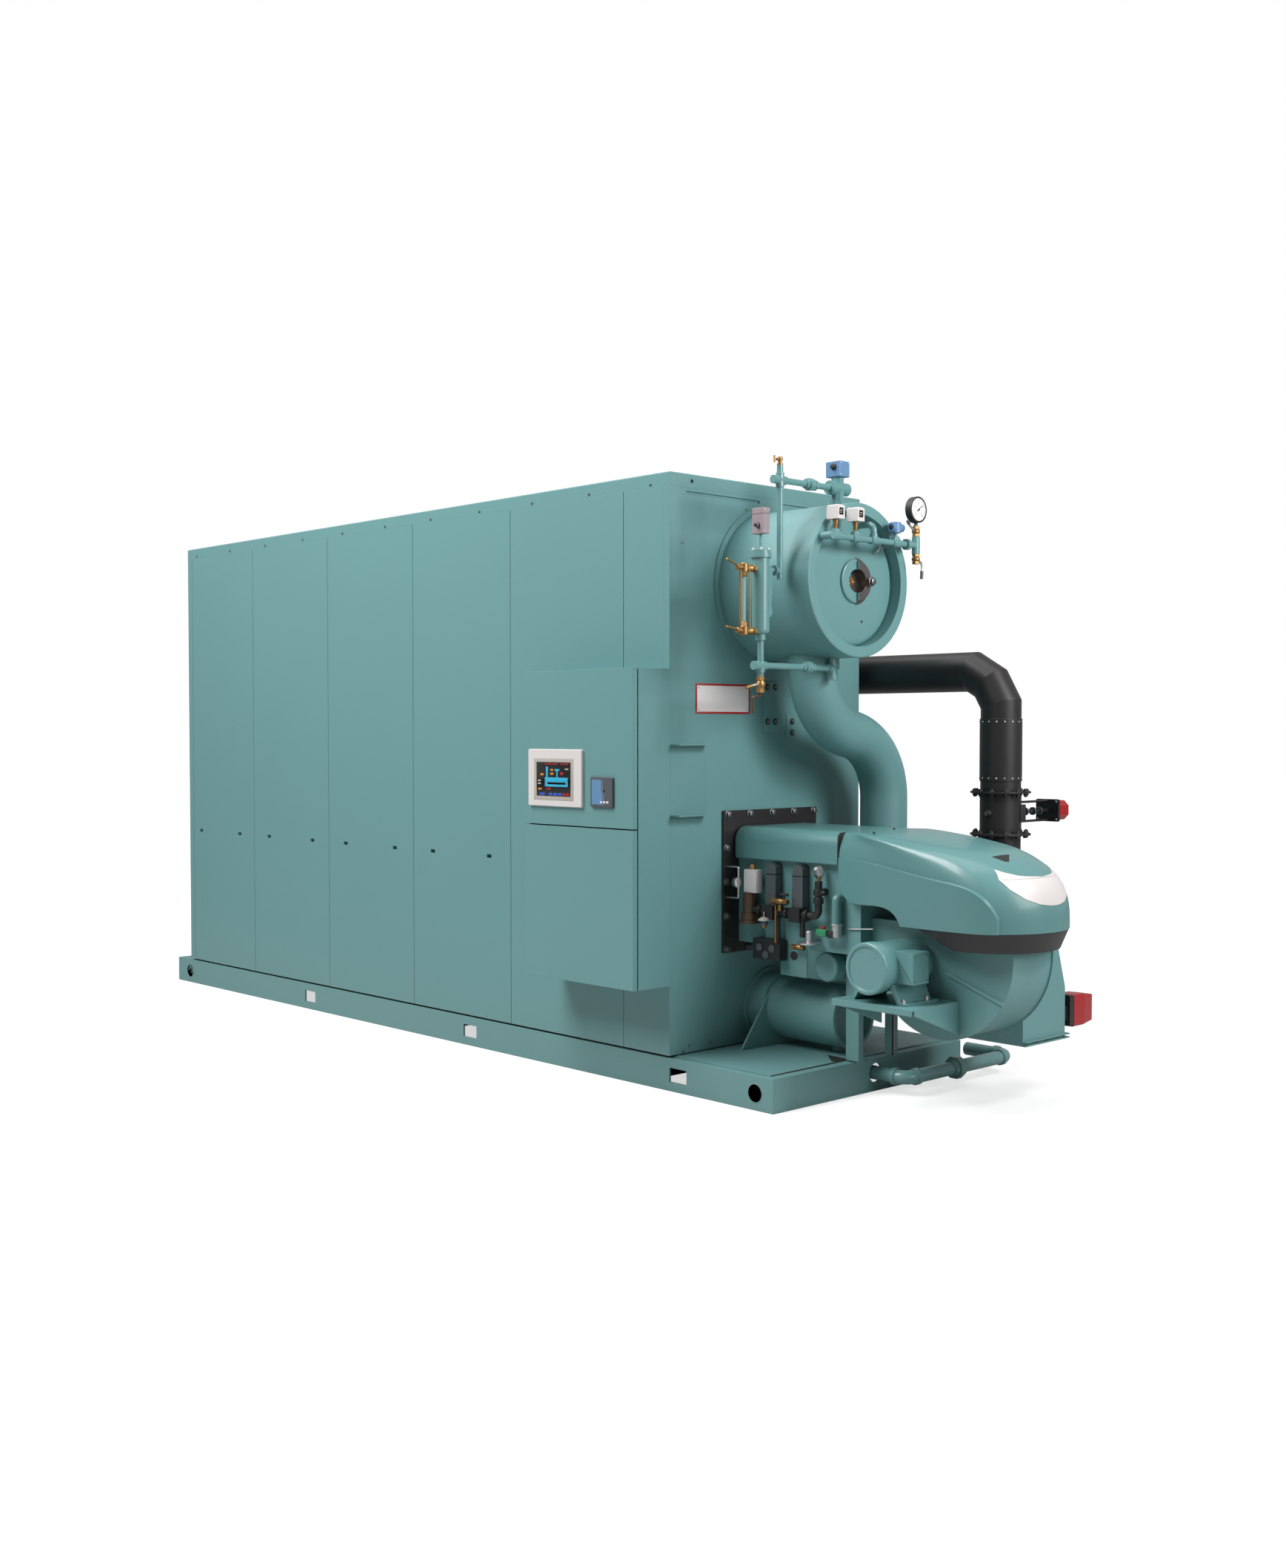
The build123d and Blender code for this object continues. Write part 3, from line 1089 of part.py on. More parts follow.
with BuildPart() as water_column:
    disc((COLUMN_X, TRIM_Y, COLUMN_BOTTOM), COLUMN_R, COLUMN_TOP - COLUMN_BOTTOM, UPWARD)
    fillet(water_column.edges().filter_by(GeomType.CIRCLE).sort_by(Axis.Z)[0], 16)
    disc((COLUMN_X, TRIM_Y, COLUMN_BOTTOM - 26), 21, 40, UPWARD)
    disc((COLUMN_X, TRIM_Y, LOWER_LINE + 20), TRIM_R, COLUMN_BOTTOM - LOWER_LINE, UPWARD)
    disc((COLUMN_X, TRIM_Y, COLUMN_TOP - 4), COLUMN_FLANGE_R, 16, UPWARD)
    disc((COLUMN_X, TRIM_Y, COLUMN_TOP + 12), COLUMN_FLANGE_R - 4, COLUMN_FLANGE - 12, UPWARD)
    disc((COLUMN_X, TRIM_Y, COLUMN_TOP), 7, SWITCH_BOTTOM - COLUMN_TOP - SEAT, UPWARD)
    # Three-lobed joint of the float chamber, cast on the front-right side
    for lobe in LOBES:
        with Locations((COLUMN_X + COLUMN_R - 14, TRIM_Y - 8, DRUM_HEIGHT + lobe)):
            Cylinder(26, 28, rotation=(90, 0, 0))
    chamber = (LOBES[-1] - LOBES[0], DRUM_HEIGHT + (LOBES[-1] + LOBES[0]) / 2)
    with Locations((COLUMN_X + COLUMN_R - 16, TRIM_Y - 8, chamber[1])):
        Box(44, 28, chamber[0])
write(water_column, "water_column")

with BuildPart() as column_switch:
    block(
        (COLUMN_X - SWITCH_WIDE / 2, TRIM_Y - SWITCH_DEEP / 2, SWITCH_BOTTOM),
        (COLUMN_X + SWITCH_WIDE / 2, TRIM_Y + SWITCH_DEEP / 2, SWITCH_BOTTOM + SWITCH_TALL),
    )
    fillet(column_switch.edges(), 2.5)
    disc((COLUMN_X - SWITCH_WIDE / 2, TRIM_Y, SWITCH_BOTTOM + 36), 10, 12, LEFTWARD)
write(column_switch, "column_switch")

# Gauge glass between its two cocks
GLASS_OUT = 64.0
GLASS_R = 7.0
COCK_LEVELS = (23.0, -237.0)
with BuildPart() as gauge_glass:
    glass_x = COLUMN_X - COLUMN_R - GLASS_OUT
    low, high = (DRUM_HEIGHT + level for level in reversed(COCK_LEVELS))
    disc((glass_x, TRIM_Y, low), GLASS_R, high - low, UPWARD)
    for z, inward in ((low, 1), (high, -1)):
        disc((glass_x - 14, TRIM_Y, z), 9, GLASS_OUT + 14 - SEAT, RIGHTWARD)
        prism((glass_x - 12, TRIM_Y, z), 30, 6, 24, RIGHTWARD)
        prism((glass_x + 34, TRIM_Y, z), 28, 6, 18, RIGHTWARD)
        disc((glass_x, TRIM_Y, z - 22), 12, 44, UPWARD)
write(gauge_glass, "gauge_glass")

UNION_R = 21.0
UNION_AT = 0.63
TEE_X = -29.0


def union_nut(x, z, radius, length):
    """Three-piece union on a pipe that runs across: two collars and a nut with flat sides."""
    disc((x - length / 2, TRIM_Y, z), radius * 0.8, length, RIGHTWARD)
    prism((x - length / 5, TRIM_Y, z), 2 * radius, 8, length * 0.4, RIGHTWARD)


with BuildPart() as column_piping:
    disc((COLUMN_X, TRIM_Y, LOWER_LINE), TRIM_R, TEE_X - COLUMN_X, RIGHTWARD)
    disc((COLUMN_X - 44, TRIM_Y, LOWER_LINE), 19, 74, RIGHTWARD)
    disc((COLUMN_X, TRIM_Y, LOWER_LINE - 30), 18, 60 - 10 - SEAT, UPWARD)
    disc((COLUMN_X, TRIM_Y, LOWER_LINE - 105), 13, 80, UPWARD)
    union_nut(COLUMN_X + UNION_AT * (TEE_X - COLUMN_X), LOWER_LINE, UNION_R, 60)
    disc((TEE_X, TRIM_Y, LOWER_LINE - 50), 19, 18, UPWARD)
    disc((TEE_X, TRIM_Y, LOWER_LINE - 50), 16, 150, UPWARD)
    disc((TEE_X - 30, TRIM_Y, LOWER_LINE), 19, 30, RIGHTWARD)
    clear_drum()
write(column_piping, "column_piping")

CROSS_R = 31.0
CROSS_NECK = 26.0
CROSS_TALL = 48.0
with BuildPart() as vent_pipe:
    vent_bottom = DRUM_HEIGHT + VENT_LOW
    disc((VENT_X, TRIM_Y, vent_bottom), TRIM_R, TOP_LINE - vent_bottom + 62, UPWARD)
    disc((VENT_X, TRIM_Y, TOP_LINE - 30), 18, 60, UPWARD)
    disc((VENT_X - 44, TRIM_Y, TOP_LINE), 18, 78, RIGHTWARD)
    disc((VENT_X, TRIM_Y, TOP_LINE), TRIM_R, -VENT_X, RIGHTWARD)
    union_nut(VENT_X / 2, TOP_LINE, UNION_R + 4, 56)
    disc((COLUMN_X + COLUMN_R + 12 + SEAT, TRIM_Y, DRUM_HEIGHT + 24), 11, VENT_X - COLUMN_X - COLUMN_R - 12, RIGHTWARD)
    disc((VENT_X - 40, TRIM_Y, DRUM_HEIGHT + 24), 22, 8, RIGHTWARD)
    # Cast cross over the drum: round hubs to both sides, eight-sided body and foot
    disc((-CROSS_R - 26, TRIM_Y, TOP_LINE), CROSS_R, 26 + CROSS_R, RIGHTWARD)
    disc((0, TRIM_Y, TOP_LINE), CROSS_R - 3, CROSS_R + 30, RIGHTWARD)
    prism((0, TRIM_Y, DRUM_TOP - 12), 2 * CROSS_NECK, 8, TOP_RISE + 12 + CROSS_TALL, UPWARD)
    prism((0, TRIM_Y, DRUM_TOP - 12), 2 * CROSS_NECK + 16, 8, 30, UPWARD)
    clear_drum()
write(vent_pipe, "vent_pipe")

# Blue housings: the level probe's on the cross, and the transmitter's on the manifold
MANIFOLD_OUT = 45.0
MANIFOLD_RISE = 171.0
MANIFOLD_R = 13.5
MANIFOLD_LEFT = -250.0
MANIFOLD_RIGHT = 336.0
TEES = (-212.0, -82.0, 42.0, 192.0)
SIPHON_RISE = 70.0
SIPHON_BEND = 30.0
MANIFOLD_Y = ahead(DRUM_REACH + MANIFOLD_OUT)
MANIFOLD_Z = DRUM_HEIGHT + MANIFOLD_RISE
with BuildPart() as level_switch:
    probe_z = TOP_LINE + CROSS_TALL + SEAT
    block((-33, TRIM_Y - 40, probe_z), (34, TRIM_Y + 40, probe_z + 68))
    fillet(level_switch.edges(), 3)
    disc((TEES[3], MANIFOLD_Y, MANIFOLD_Z + 44), 24, 46, UPWARD)
    disc((TEES[3] - 32, MANIFOLD_Y, MANIFOLD_Z + 68), 19, 66, RIGHTWARD)
write(level_switch, "level_switch")

# Pressure manifold in front of the drum's head
with BuildPart() as pressure_manifold:
    disc((MANIFOLD_LEFT, MANIFOLD_Y, MANIFOLD_Z), MANIFOLD_R, MANIFOLD_RIGHT - MANIFOLD_LEFT, RIGHTWARD)
    disc((MANIFOLD_LEFT, MANIFOLD_Y - 18, MANIFOLD_Z), 17, MANIFOLD_OUT + 18 - SEAT, REARWARD)
    for x in TEES:
        disc((x - 24, MANIFOLD_Y, MANIFOLD_Z), 18, 48, RIGHTWARD)
        disc((x, MANIFOLD_Y, MANIFOLD_Z), 17, 28, UPWARD)
    for x in TEES[:2]:
        disc((x, MANIFOLD_Y, MANIFOLD_Z), 7, 70 - SEAT, UPWARD)
    disc((TEES[3], MANIFOLD_Y, MANIFOLD_Z), 9, 44 - SEAT, UPWARD)
    siphon_z = MANIFOLD_Z + SIPHON_RISE
    tube(
        (
            (TEES[2], MANIFOLD_Y, MANIFOLD_Z),
            (TEES[2], MANIFOLD_Y, siphon_z),
            (TEES[2], ahead(HEAD_FACE + SEAT), siphon_z),
        ),
        (SIPHON_BEND,),
        MANIFOLD_R,
    )
    prism((MANIFOLD_RIGHT - 76, MANIFOLD_Y, MANIFOLD_Z), 46, 8, 22, RIGHTWARD)
    disc((MANIFOLD_RIGHT, MANIFOLD_Y, MANIFOLD_Z - 38), 18, 76, UPWARD)
    disc((MANIFOLD_RIGHT, MANIFOLD_Y, MANIFOLD_Z - 82), 13, 46, UPWARD)
    disc((MANIFOLD_RIGHT, MANIFOLD_Y, MANIFOLD_Z + 30), 12, 60, UPWARD)
write(pressure_manifold, "pressure_manifold")

with BuildPart() as pressure_switches:
    for x in TEES[:2]:
        low = (x - 23, MANIFOLD_Y - 31, MANIFOLD_Z + 70)
        high = (x + 23, MANIFOLD_Y + 31, MANIFOLD_Z + 129)
        block(low, high)
    chamfer(pressure_switches.edges().group_by(Axis.Z)[-1], 5)
write(pressure_switches, "pressure_switches")

GAUGE_R = 58.0
GAUGE_RISE = 158.0
GAUGE_DEEP = 34.0
with BuildPart() as pressure_gauge:
    dial = (MANIFOLD_RIGHT, MANIFOLD_Y + GAUGE_DEEP / 2, MANIFOLD_Z + GAUGE_RISE)
    disc(dial, GAUGE_R, GAUGE_DEEP, FORWARD)
    fillet(pressure_gauge.edges().filter_by(GeomType.CIRCLE), 3)
    disc((dial[0], dial[1] - GAUGE_DEEP + 3, dial[2]), GAUGE_R - 7, 10, FORWARD, Mode.SUBTRACT)
    disc((dial[0], MANIFOLD_Y, MANIFOLD_Z + 90 + SEAT), 8, GAUGE_RISE - 90 - GAUGE_R + 4, UPWARD)
write(pressure_gauge, "pressure_gauge")

# Drain from the lower drum, out through the front channel and round its right corner
DRAIN_RISE = 400.0
DRAIN_OUT = 170.0
DRAIN_SIDE = 766.0
DRAIN_END_IN = 58.0
DRAIN_BEND = 50.0
DRAIN_UNION = 368.0
DRAIN_COLLAR = 6.0
with BuildPart() as drain_loop:
    rise_y = ahead(DRAIN_RISE)
    front_y = -SKID_LENGTH / 2 - DRAIN_OUT
    tube(
        (
            (DRAIN_X, rise_y, LOWER_DRUM_HEIGHT - LOWER_DRUM_R + DRAIN_R),
            (DRAIN_X, rise_y, DRAIN_Z),
            (DRAIN_X, front_y, DRAIN_Z),
            (DRAIN_SIDE, front_y, DRAIN_Z),
            (DRAIN_SIDE, -SKID_LENGTH / 2 + DRAIN_END_IN, DRAIN_Z),
        ),
        (DRAIN_BEND, DRAIN_BEND, DRAIN_BEND),
        DRAIN_R,
    )
    band = DRAIN_R + DRAIN_COLLAR
    disc((DRAIN_X, front_y + DRAIN_BEND + 22, DRAIN_Z), band, 22, FORWARD)
    disc((DRAIN_X + DRAIN_BEND, front_y, DRAIN_Z), band, 22, RIGHTWARD)
    disc((DRAIN_SIDE - DRAIN_BEND - 22, front_y, DRAIN_Z), band, 22, RIGHTWARD)
    disc((DRAIN_SIDE, front_y + DRAIN_BEND + 22, DRAIN_Z), band, 22, FORWARD)
    disc((DRAIN_UNION - 38, front_y, DRAIN_Z), band + 2, 76, RIGHTWARD)
    prism((DRAIN_UNION - 16, front_y, DRAIN_Z), 2 * band + 22, 8, 32, RIGHTWARD)
    clear_lower_drum()
write(drain_loop, "drain_loop")
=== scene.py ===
"""Finishes, fasteners and small fittings for the packaged water-tube boiler."""

import json
import math

import bpy
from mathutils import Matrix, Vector


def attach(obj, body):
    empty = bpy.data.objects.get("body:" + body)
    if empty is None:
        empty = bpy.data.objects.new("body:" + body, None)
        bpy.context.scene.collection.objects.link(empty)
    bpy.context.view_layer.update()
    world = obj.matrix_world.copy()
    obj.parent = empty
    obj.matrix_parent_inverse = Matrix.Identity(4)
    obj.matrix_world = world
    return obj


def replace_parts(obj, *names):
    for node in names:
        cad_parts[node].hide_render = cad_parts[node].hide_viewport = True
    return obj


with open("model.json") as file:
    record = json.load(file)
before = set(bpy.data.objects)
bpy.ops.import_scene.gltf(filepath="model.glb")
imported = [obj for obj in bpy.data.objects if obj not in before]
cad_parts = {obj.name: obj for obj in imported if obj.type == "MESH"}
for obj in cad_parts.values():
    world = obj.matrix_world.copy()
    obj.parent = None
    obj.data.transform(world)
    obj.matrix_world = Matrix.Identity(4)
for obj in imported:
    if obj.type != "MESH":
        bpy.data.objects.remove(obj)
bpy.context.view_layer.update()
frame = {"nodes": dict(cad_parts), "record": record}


# Shared effects

def new_group(name, inputs, outputs):
    """An empty shader node group with float or colour sockets."""
    group = bpy.data.node_groups.new(name, "ShaderNodeTree")
    for label, kind, default in inputs:
        socket = group.interface.new_socket(label, in_out="INPUT", socket_type=kind)
        socket.default_value = default
    for label, kind in outputs:
        group.interface.new_socket(label, in_out="OUTPUT", socket_type=kind)
    source = group.nodes.new("NodeGroupInput")
    sink = group.nodes.new("NodeGroupOutput")
    return group, source.outputs, sink.inputs


def feed(tree, made, given):
    """Gives a node's inputs, by name or number, their values: numbers, tuples or the sockets to link."""
    for key, value in given.items():
        if isinstance(value, bpy.types.NodeSocket):
            tree.links.new(value, made.inputs[key])
        else:
            made.inputs[key].default_value = value


def node(tree, kind, given=None, **settings):
    """One shader node, with what its inputs are given and its settings by name."""
    made = tree.nodes.new(kind)
    for key, value in settings.items():
        setattr(made, key, value)
    feed(tree, made, given or {})
    return made


def math_node(tree, operation, first, second):
    """A Math node whose two inputs are sockets or numbers."""
    return node(tree, "ShaderNodeMath", {0: first, 1: second}, operation=operation).outputs[0]


def times(tree, first, second):
    return math_node(tree, "MULTIPLY", first, second)


def plus(tree, first, second):
    return math_node(tree, "ADD", first, second)


def object_place(tree):
    return node(tree, "ShaderNodeTexCoord").outputs["Object"]


def noise(tree, place, scale, detail=3.0, roughness=0.5):
    """Noise value at a scale in turns a metre."""
    given = {"Vector": place, "Scale": scale, "Detail": detail, "Roughness": roughness}
    return node(tree, "ShaderNodeTexNoise", given).outputs["Fac"]


def opaque(value):
    """A colour with its alpha; any other value stays as it is."""
    return (*value, 1.0) if isinstance(value, tuple) else value


def blend_colour(tree, mode, share, first, second):
    """A Mix node for colours, with sockets or plain values."""
    given = {0: share, 6: opaque(first), 7: opaque(second)}
    return node(tree, "ShaderNodeMix", given, data_type="RGBA", blend_type=mode).outputs[2]


def build_edge_wear():
    """Mask that is 1 along sharp edges, broken up by noise, for edges lightened as wear and as a painted
    highlight.
    """
    group, given, out = new_group(
        "edge_wear_and_highlight",
        [("Width", "NodeSocketFloat", 0.003), ("Break", "NodeSocketFloat", 60.0)],
        [("Mask", "NodeSocketFloat")],
    )
    bevel = node(group, "ShaderNodeBevel", {"Radius": given["Width"]}, samples=6)
    geometry = node(group, "ShaderNodeNewGeometry")
    normals = {0: bevel.outputs["Normal"], 1: geometry.outputs["Normal"]}
    dot = node(group, "ShaderNodeVectorMath", normals, operation="DOT_PRODUCT")
    edge = math_node(group, "SUBTRACT", 1.0, dot.outputs["Value"])
    edge = times(group, edge, 5.0)
    patchy = noise(group, object_place(group), given["Break"], 4.0, 0.6)
    group.links.new(times(group, edge, patchy), out["Mask"])
    return group


def build_paint_tone():
    """Colour that drifts a little over the surface, with settled dust low down."""
    group, given, out = new_group(
        "paint_tone",
        [
            ("Color", "NodeSocketColor", (0.5, 0.5, 0.5, 1.0)),
            ("Drift", "NodeSocketFloat", 0.06),
            ("Dust", "NodeSocketFloat", 0.1),
        ],
        [("Color", "NodeSocketColor"), ("Roughness", "NodeSocketFloat")],
    )
    place = object_place(group)
    broad = noise(group, place, 1.3, 2.0)
    fine = noise(group, place, 22.0, 4.0, 0.6)
    both = plus(group, times(group, broad, 0.7), times(group, fine, 0.3))
    swing = times(group, math_node(group, "SUBTRACT", both, 0.5), given["Drift"])
    bright = {"Color": given["Color"], "Value": plus(group, swing, 1.0)}
    value = node(group, "ShaderNodeHueSaturation", bright)
    split = node(group, "ShaderNodeSeparateXYZ", {0: place})
    low = math_node(group, "SUBTRACT", 1.0, times(group, split.outputs["Z"], 2.2))
    low.node.use_clamp = True
    dust = times(group, times(group, low, fine), given["Dust"])
    dusty = blend_colour(group, "MIX", dust, value.outputs["Color"], (0.42, 0.4, 0.37))
    group.links.new(dusty, out["Color"])
    rough = times(group, math_node(group, "SUBTRACT", fine, 0.5), 0.16)
    group.links.new(plus(group, rough, dust), out["Roughness"])
    return group


EDGE_WEAR_AND_HIGHLIGHT = build_edge_wear()
PAINT_TONE = build_paint_tone()


def use_group(tree, group, **values):
    made = node(tree, "ShaderNodeGroup", node_tree=group)
    feed(tree, made, {key: opaque(value) for key, value in values.items()})
    return made


# Finishes

def new_material(name):
    made = bpy.data.materials.new(name)
    made.use_nodes = True
    made.node_tree.nodes.clear()
    tree = made.node_tree
    shader = node(tree, "ShaderNodeBsdfPrincipled")
    node(tree, "ShaderNodeOutputMaterial", {"Surface": shader.outputs[0]})
    return made, tree, shader


def bump(tree, shader, height, strength, distance, rounding):
    """Bump from a height, over edges rounded by the shader."""
    bevel = node(tree, "ShaderNodeBevel", {"Radius": rounding}, samples=6)
    given = {"Strength": strength, "Distance": distance, "Height": height, "Normal": bevel.outputs["Normal"]}
    feed(tree, shader, {"Normal": node(tree, "ShaderNodeBump", given).outputs["Normal"]})


def part_mask(tree, centre, reach, axis, past):
    """Mask that is 1 within a reach of a centre and past a value on an axis, in mm."""
    place = object_place(tree)
    ends = {0: place, 1: [c * MM for c in centre]}
    gap = node(tree, "ShaderNodeVectorMath", ends, operation="DISTANCE")
    mask = math_node(tree, "LESS_THAN", gap.outputs["Value"], reach * MM)
    split = node(tree, "ShaderNodeSeparateXYZ", {0: place})
    beyond = math_node(tree, "GREATER_THAN", split.outputs[axis], past * MM)
    return times(tree, mask, beyond)


def enamel(
    name, colour, rough, peel=0.12, coat=0.0, wear_and_highlight=0.25, drift=0.06, dust=0.12, rounding=0.0025, bare=None
):
    """Sprayed enamel: drifting tone, orange peel, edges lightened as wear and as a painted highlight, and a
    little dust.
    bare is the mask (centre, reach, axis, past) of a place left as dark steel."""
    made, tree, shader = new_material(name)
    tone = use_group(tree, PAINT_TONE, Color=colour, Drift=drift, Dust=dust)
    edge = use_group(tree, EDGE_WEAR_AND_HIGHLIGHT, Width=rounding * 1.4)
    # Lighter colour along the edges: partly wear, partly a painted highlight.
    lighter = tuple(min(1.0, c * 1.5 + 0.05) for c in colour)
    share = times(tree, edge.outputs["Mask"], wear_and_highlight)
    colour_out = blend_colour(tree, "MIX", share, tone.outputs["Color"], lighter)
    if bare:
        mask = part_mask(tree, *bare)
        colour_out = blend_colour(tree, "MIX", mask, colour_out, (0.15, 0.135, 0.13))
        feed(tree, shader, {"Metallic": times(tree, mask, 0.85)})
    rough_out = plus(tree, tone.outputs["Roughness"], rough)
    feed(tree, shader, {"Base Color": colour_out, "Roughness": rough_out})
    feed(tree, shader, {"Coat Weight": coat, "Coat Roughness": 0.12})
    bump(tree, shader, noise(tree, object_place(tree), 420.0, 2.0), peel, 0.0006, rounding)
    return made


def moulded(name, colour, rough, grain=0.1, rounding=0.0015):
    """Moulded plastic with a fine grain."""
    made, tree, shader = new_material(name)
    tone = use_group(tree, PAINT_TONE, Color=colour, Drift=0.05, Dust=0.05)
    rough_out = plus(tree, tone.outputs["Roughness"], rough)
    feed(tree, shader, {"Base Color": tone.outputs["Color"], "Roughness": rough_out})
    bump(tree, shader, noise(tree, object_place(tree), 1400.0, 2.0), grain, 0.0004, rounding)
    return made


def bare_metal(name, colour, rough, streak=(6.0, 6.0, 220.0), rounding=0.0012, tarnish=0.2):
    """Bare metal with turned or brushed streaks and patchy tarnish."""
    made, tree, shader = new_material(name)
    place = object_place(tree)
    stretch = node(tree, "ShaderNodeMapping", {"Scale": streak, "Vector": place})
    lines = noise(tree, stretch.outputs["Vector"], 4.0, 3.0)
    patches = noise(tree, place, 35.0, 5.0, 0.65)
    darker = tuple(c * 0.45 for c in colour)
    share = times(tree, patches, tarnish * 2.0)
    blend = blend_colour(tree, "MIX", share, colour, darker)
    rough_out = plus(tree, times(tree, lines, 0.18), rough)
    feed(tree, shader, {"Base Color": blend, "Metallic": 1.0, "Roughness": rough_out})
    bump(tree, shader, lines, 0.15, 0.0004, rounding)
    return made


MM = 0.001
FRONT = -1919.0
REAR = 2366.0


def ahead(distance):
    """Row y of a place that far in front of the casing's burner end, in mm."""
    return FRONT - distance


def in_front(*points, x=0.0):
    """Places in mm from (across, distance in front of the casing, height), with a shift across."""
    return [(x + across, ahead(distance), height) for across, distance, height in points]


HANDHOLE = (25.0, ahead(477), 2217.0)
TEAL = (0.128, 0.282, 0.284)
FINISH = {
    "teal_paint": enamel("teal_enamel", TEAL, 0.42),
    # Glossier copy of the casing's teal, made darker as painted shade for the hood and nose.
    "teal_hood": enamel("teal_hood_gloss_painted_shade", (0.1, 0.24, 0.24), 0.36, 0.05, 0.3, 0.12),
    "teal_pipe": enamel("teal_pipe_gloss", TEAL, 0.3, 0.08, 0.25, 0.2, rounding=0.001),
    "drum_head": enamel("teal_drum_head", TEAL, 0.36, coat=0.2, bare=(HANDHOLE, 104.0, 0, 27.0)),
    "black_paint": enamel("black_enamel", (0.015, 0.013, 0.014), 0.4, 0.1, 0.0, 0.2),
    "seal": moulded("seal_rubber", (0.012, 0.012, 0.013), 0.7),
    "blue_plastic": enamel("blue_enamel", (0.115, 0.24, 0.42), 0.36, 0.1, 0.0, 0.15),
    "green_paint": enamel("green_enamel", (0.03, 0.24, 0.1), 0.35, 0.1, 0.0, 0.15),
    # Dark amber, darkened further as painted shade for the gas valves under the hood.
    "amber_paint": enamel("amber_lacquer_painted_shade", (0.07, 0.036, 0.014), 0.3, 0.1, 0.2, 0.1),
    "cream_paint": enamel("cream_enamel", (0.72, 0.69, 0.62), 0.45),
    "brass": bare_metal("brass", (0.42, 0.24, 0.095), 0.36, tarnish=0.32),
    "steel": bare_metal("bright_steel", (0.62, 0.62, 0.62), 0.28),
    "dark_steel": bare_metal("dark_steel", (0.2, 0.2, 0.205), 0.34),
}
# Colour, roughness and grain of the plain moulded ones
MOULDED = {
    "dark_band": ((0.022, 0.02, 0.022), 0.42),
    "white_plastic": ((0.66, 0.625, 0.615), 0.38),
    "grey_plastic": ((0.075, 0.085, 0.095), 0.42),
    "switch_grey": ((0.3, 0.245, 0.265), 0.4),
    "frame_beige": ((0.42, 0.39, 0.34), 0.5),
    "red_plastic": ((0.36, 0.009, 0.011), 0.3, 0.06),
    "knob_blue": ((0.03, 0.06, 0.16), 0.35),
    "tube_pale": ((0.24, 0.36, 0.34), 0.12, 0.02),
    "dial_white": ((0.82, 0.83, 0.82), 0.3, 0.03),
    "dial_ink": ((0.015, 0.015, 0.016), 0.5, 0.03),
    "screen_black": ((0.006, 0.006, 0.007), 0.08, 0.01),
    "mark_cyan": ((0.03, 0.4, 0.62), 0.25, 0.01),
    "mark_blue": ((0.03, 0.09, 0.5), 0.25, 0.01),
    "mark_orange": ((0.6, 0.22, 0.03), 0.25, 0.01),
}
FINISH.update({name: moulded(name, *given) for name, given in MOULDED.items()})

# Nodes whose finish is another one than their slot's
FINISH_OF_NODE = {
    "drum_head": "drum_head", "flue_drop": "black_paint", "column_switch": "switch_grey",
    "gas_valves": "amber_paint", "pressure_gauge": "dial_ink",
    "column_piping": "teal_pipe", "water_column": "teal_pipe", "pressure_manifold": "teal_pipe",
    "vent_pipe": "teal_pipe", "drain_loop": "teal_pipe", "fan_motor": "teal_pipe",
}

SLOT_OF = {row["node"]: row["material_slot"] for row in frame["record"]["subparts"]}
for name, piece in frame["nodes"].items():
    for holder in piece.material_slots:
        holder.material = FINISH[FINISH_OF_NODE.get(name, SLOT_OF[name])]


# Modelling steps

# Turns, in degrees, that point a piece's own Z out of a side of the boiler, with its own Y up
FACING = {
    "front": (90, 0, 0),
    "left": (90, 0, -90),
    "right": (90, 0, 90),
    "rear": (90, 0, 180),
    "up": (0, 0, 0),
    "down": (180, 0, 0),
}


def placed(name, data):
    """A new object of that data, in the scene."""
    piece = bpy.data.objects.new(name, data)
    bpy.context.scene.collection.objects.link(piece)
    return piece


def only(*pieces):
    """Selects these pieces alone, with the first as the active one; with none, it clears the selection."""
    bpy.ops.object.select_all(action="DESELECT")
    for piece in pieces:
        piece.select_set(True)
    if pieces:
        bpy.context.view_layer.objects.active = pieces[0]


def settle(location=True, rotation=False, scale=False):
    """Applies the active piece's own location, rotation or scale to its mesh."""
    bpy.ops.object.transform_apply(location=location, rotation=rotation, scale=scale)


def edit_mode(on):
    bpy.ops.object.mode_set(mode="EDIT" if on else "OBJECT")


def apply_modifier(piece, kind, **settings):
    only(piece)
    modifier = piece.modifiers.new(kind.lower(), kind)
    for key, value in settings.items():
        setattr(modifier, key, value)
    bpy.ops.object.modifier_apply(modifier=modifier.name)


def turned(rings, sides=24):
    """A turned form about its own Z: a disc extruded from ring to ring, each (radius, height) in mm."""
    radius, height = rings[0]
    only()
    bpy.ops.mesh.primitive_circle_add(
        vertices=sides, radius=radius * MM, fill_type="NGON", location=(0.0, 0.0, height * MM),
        enter_editmode=True,
    )
    for next_radius, next_height in rings[1:]:
        rise = (0.0, 0.0, (next_height - height) * MM)
        bpy.ops.mesh.extrude_region_move(TRANSFORM_OT_translate={"value": rise})
        growth = next_radius / radius
        bpy.ops.transform.resize(value=(growth, growth, 1.0), center_override=(0.0, 0.0, next_height * MM))
        radius, height = next_radius, next_height
    bpy.ops.mesh.select_all(action="SELECT")
    bpy.ops.mesh.normals_make_consistent(inside=False)
    edit_mode(False)
    piece = bpy.context.object
    only(piece)
    settle()
    return piece


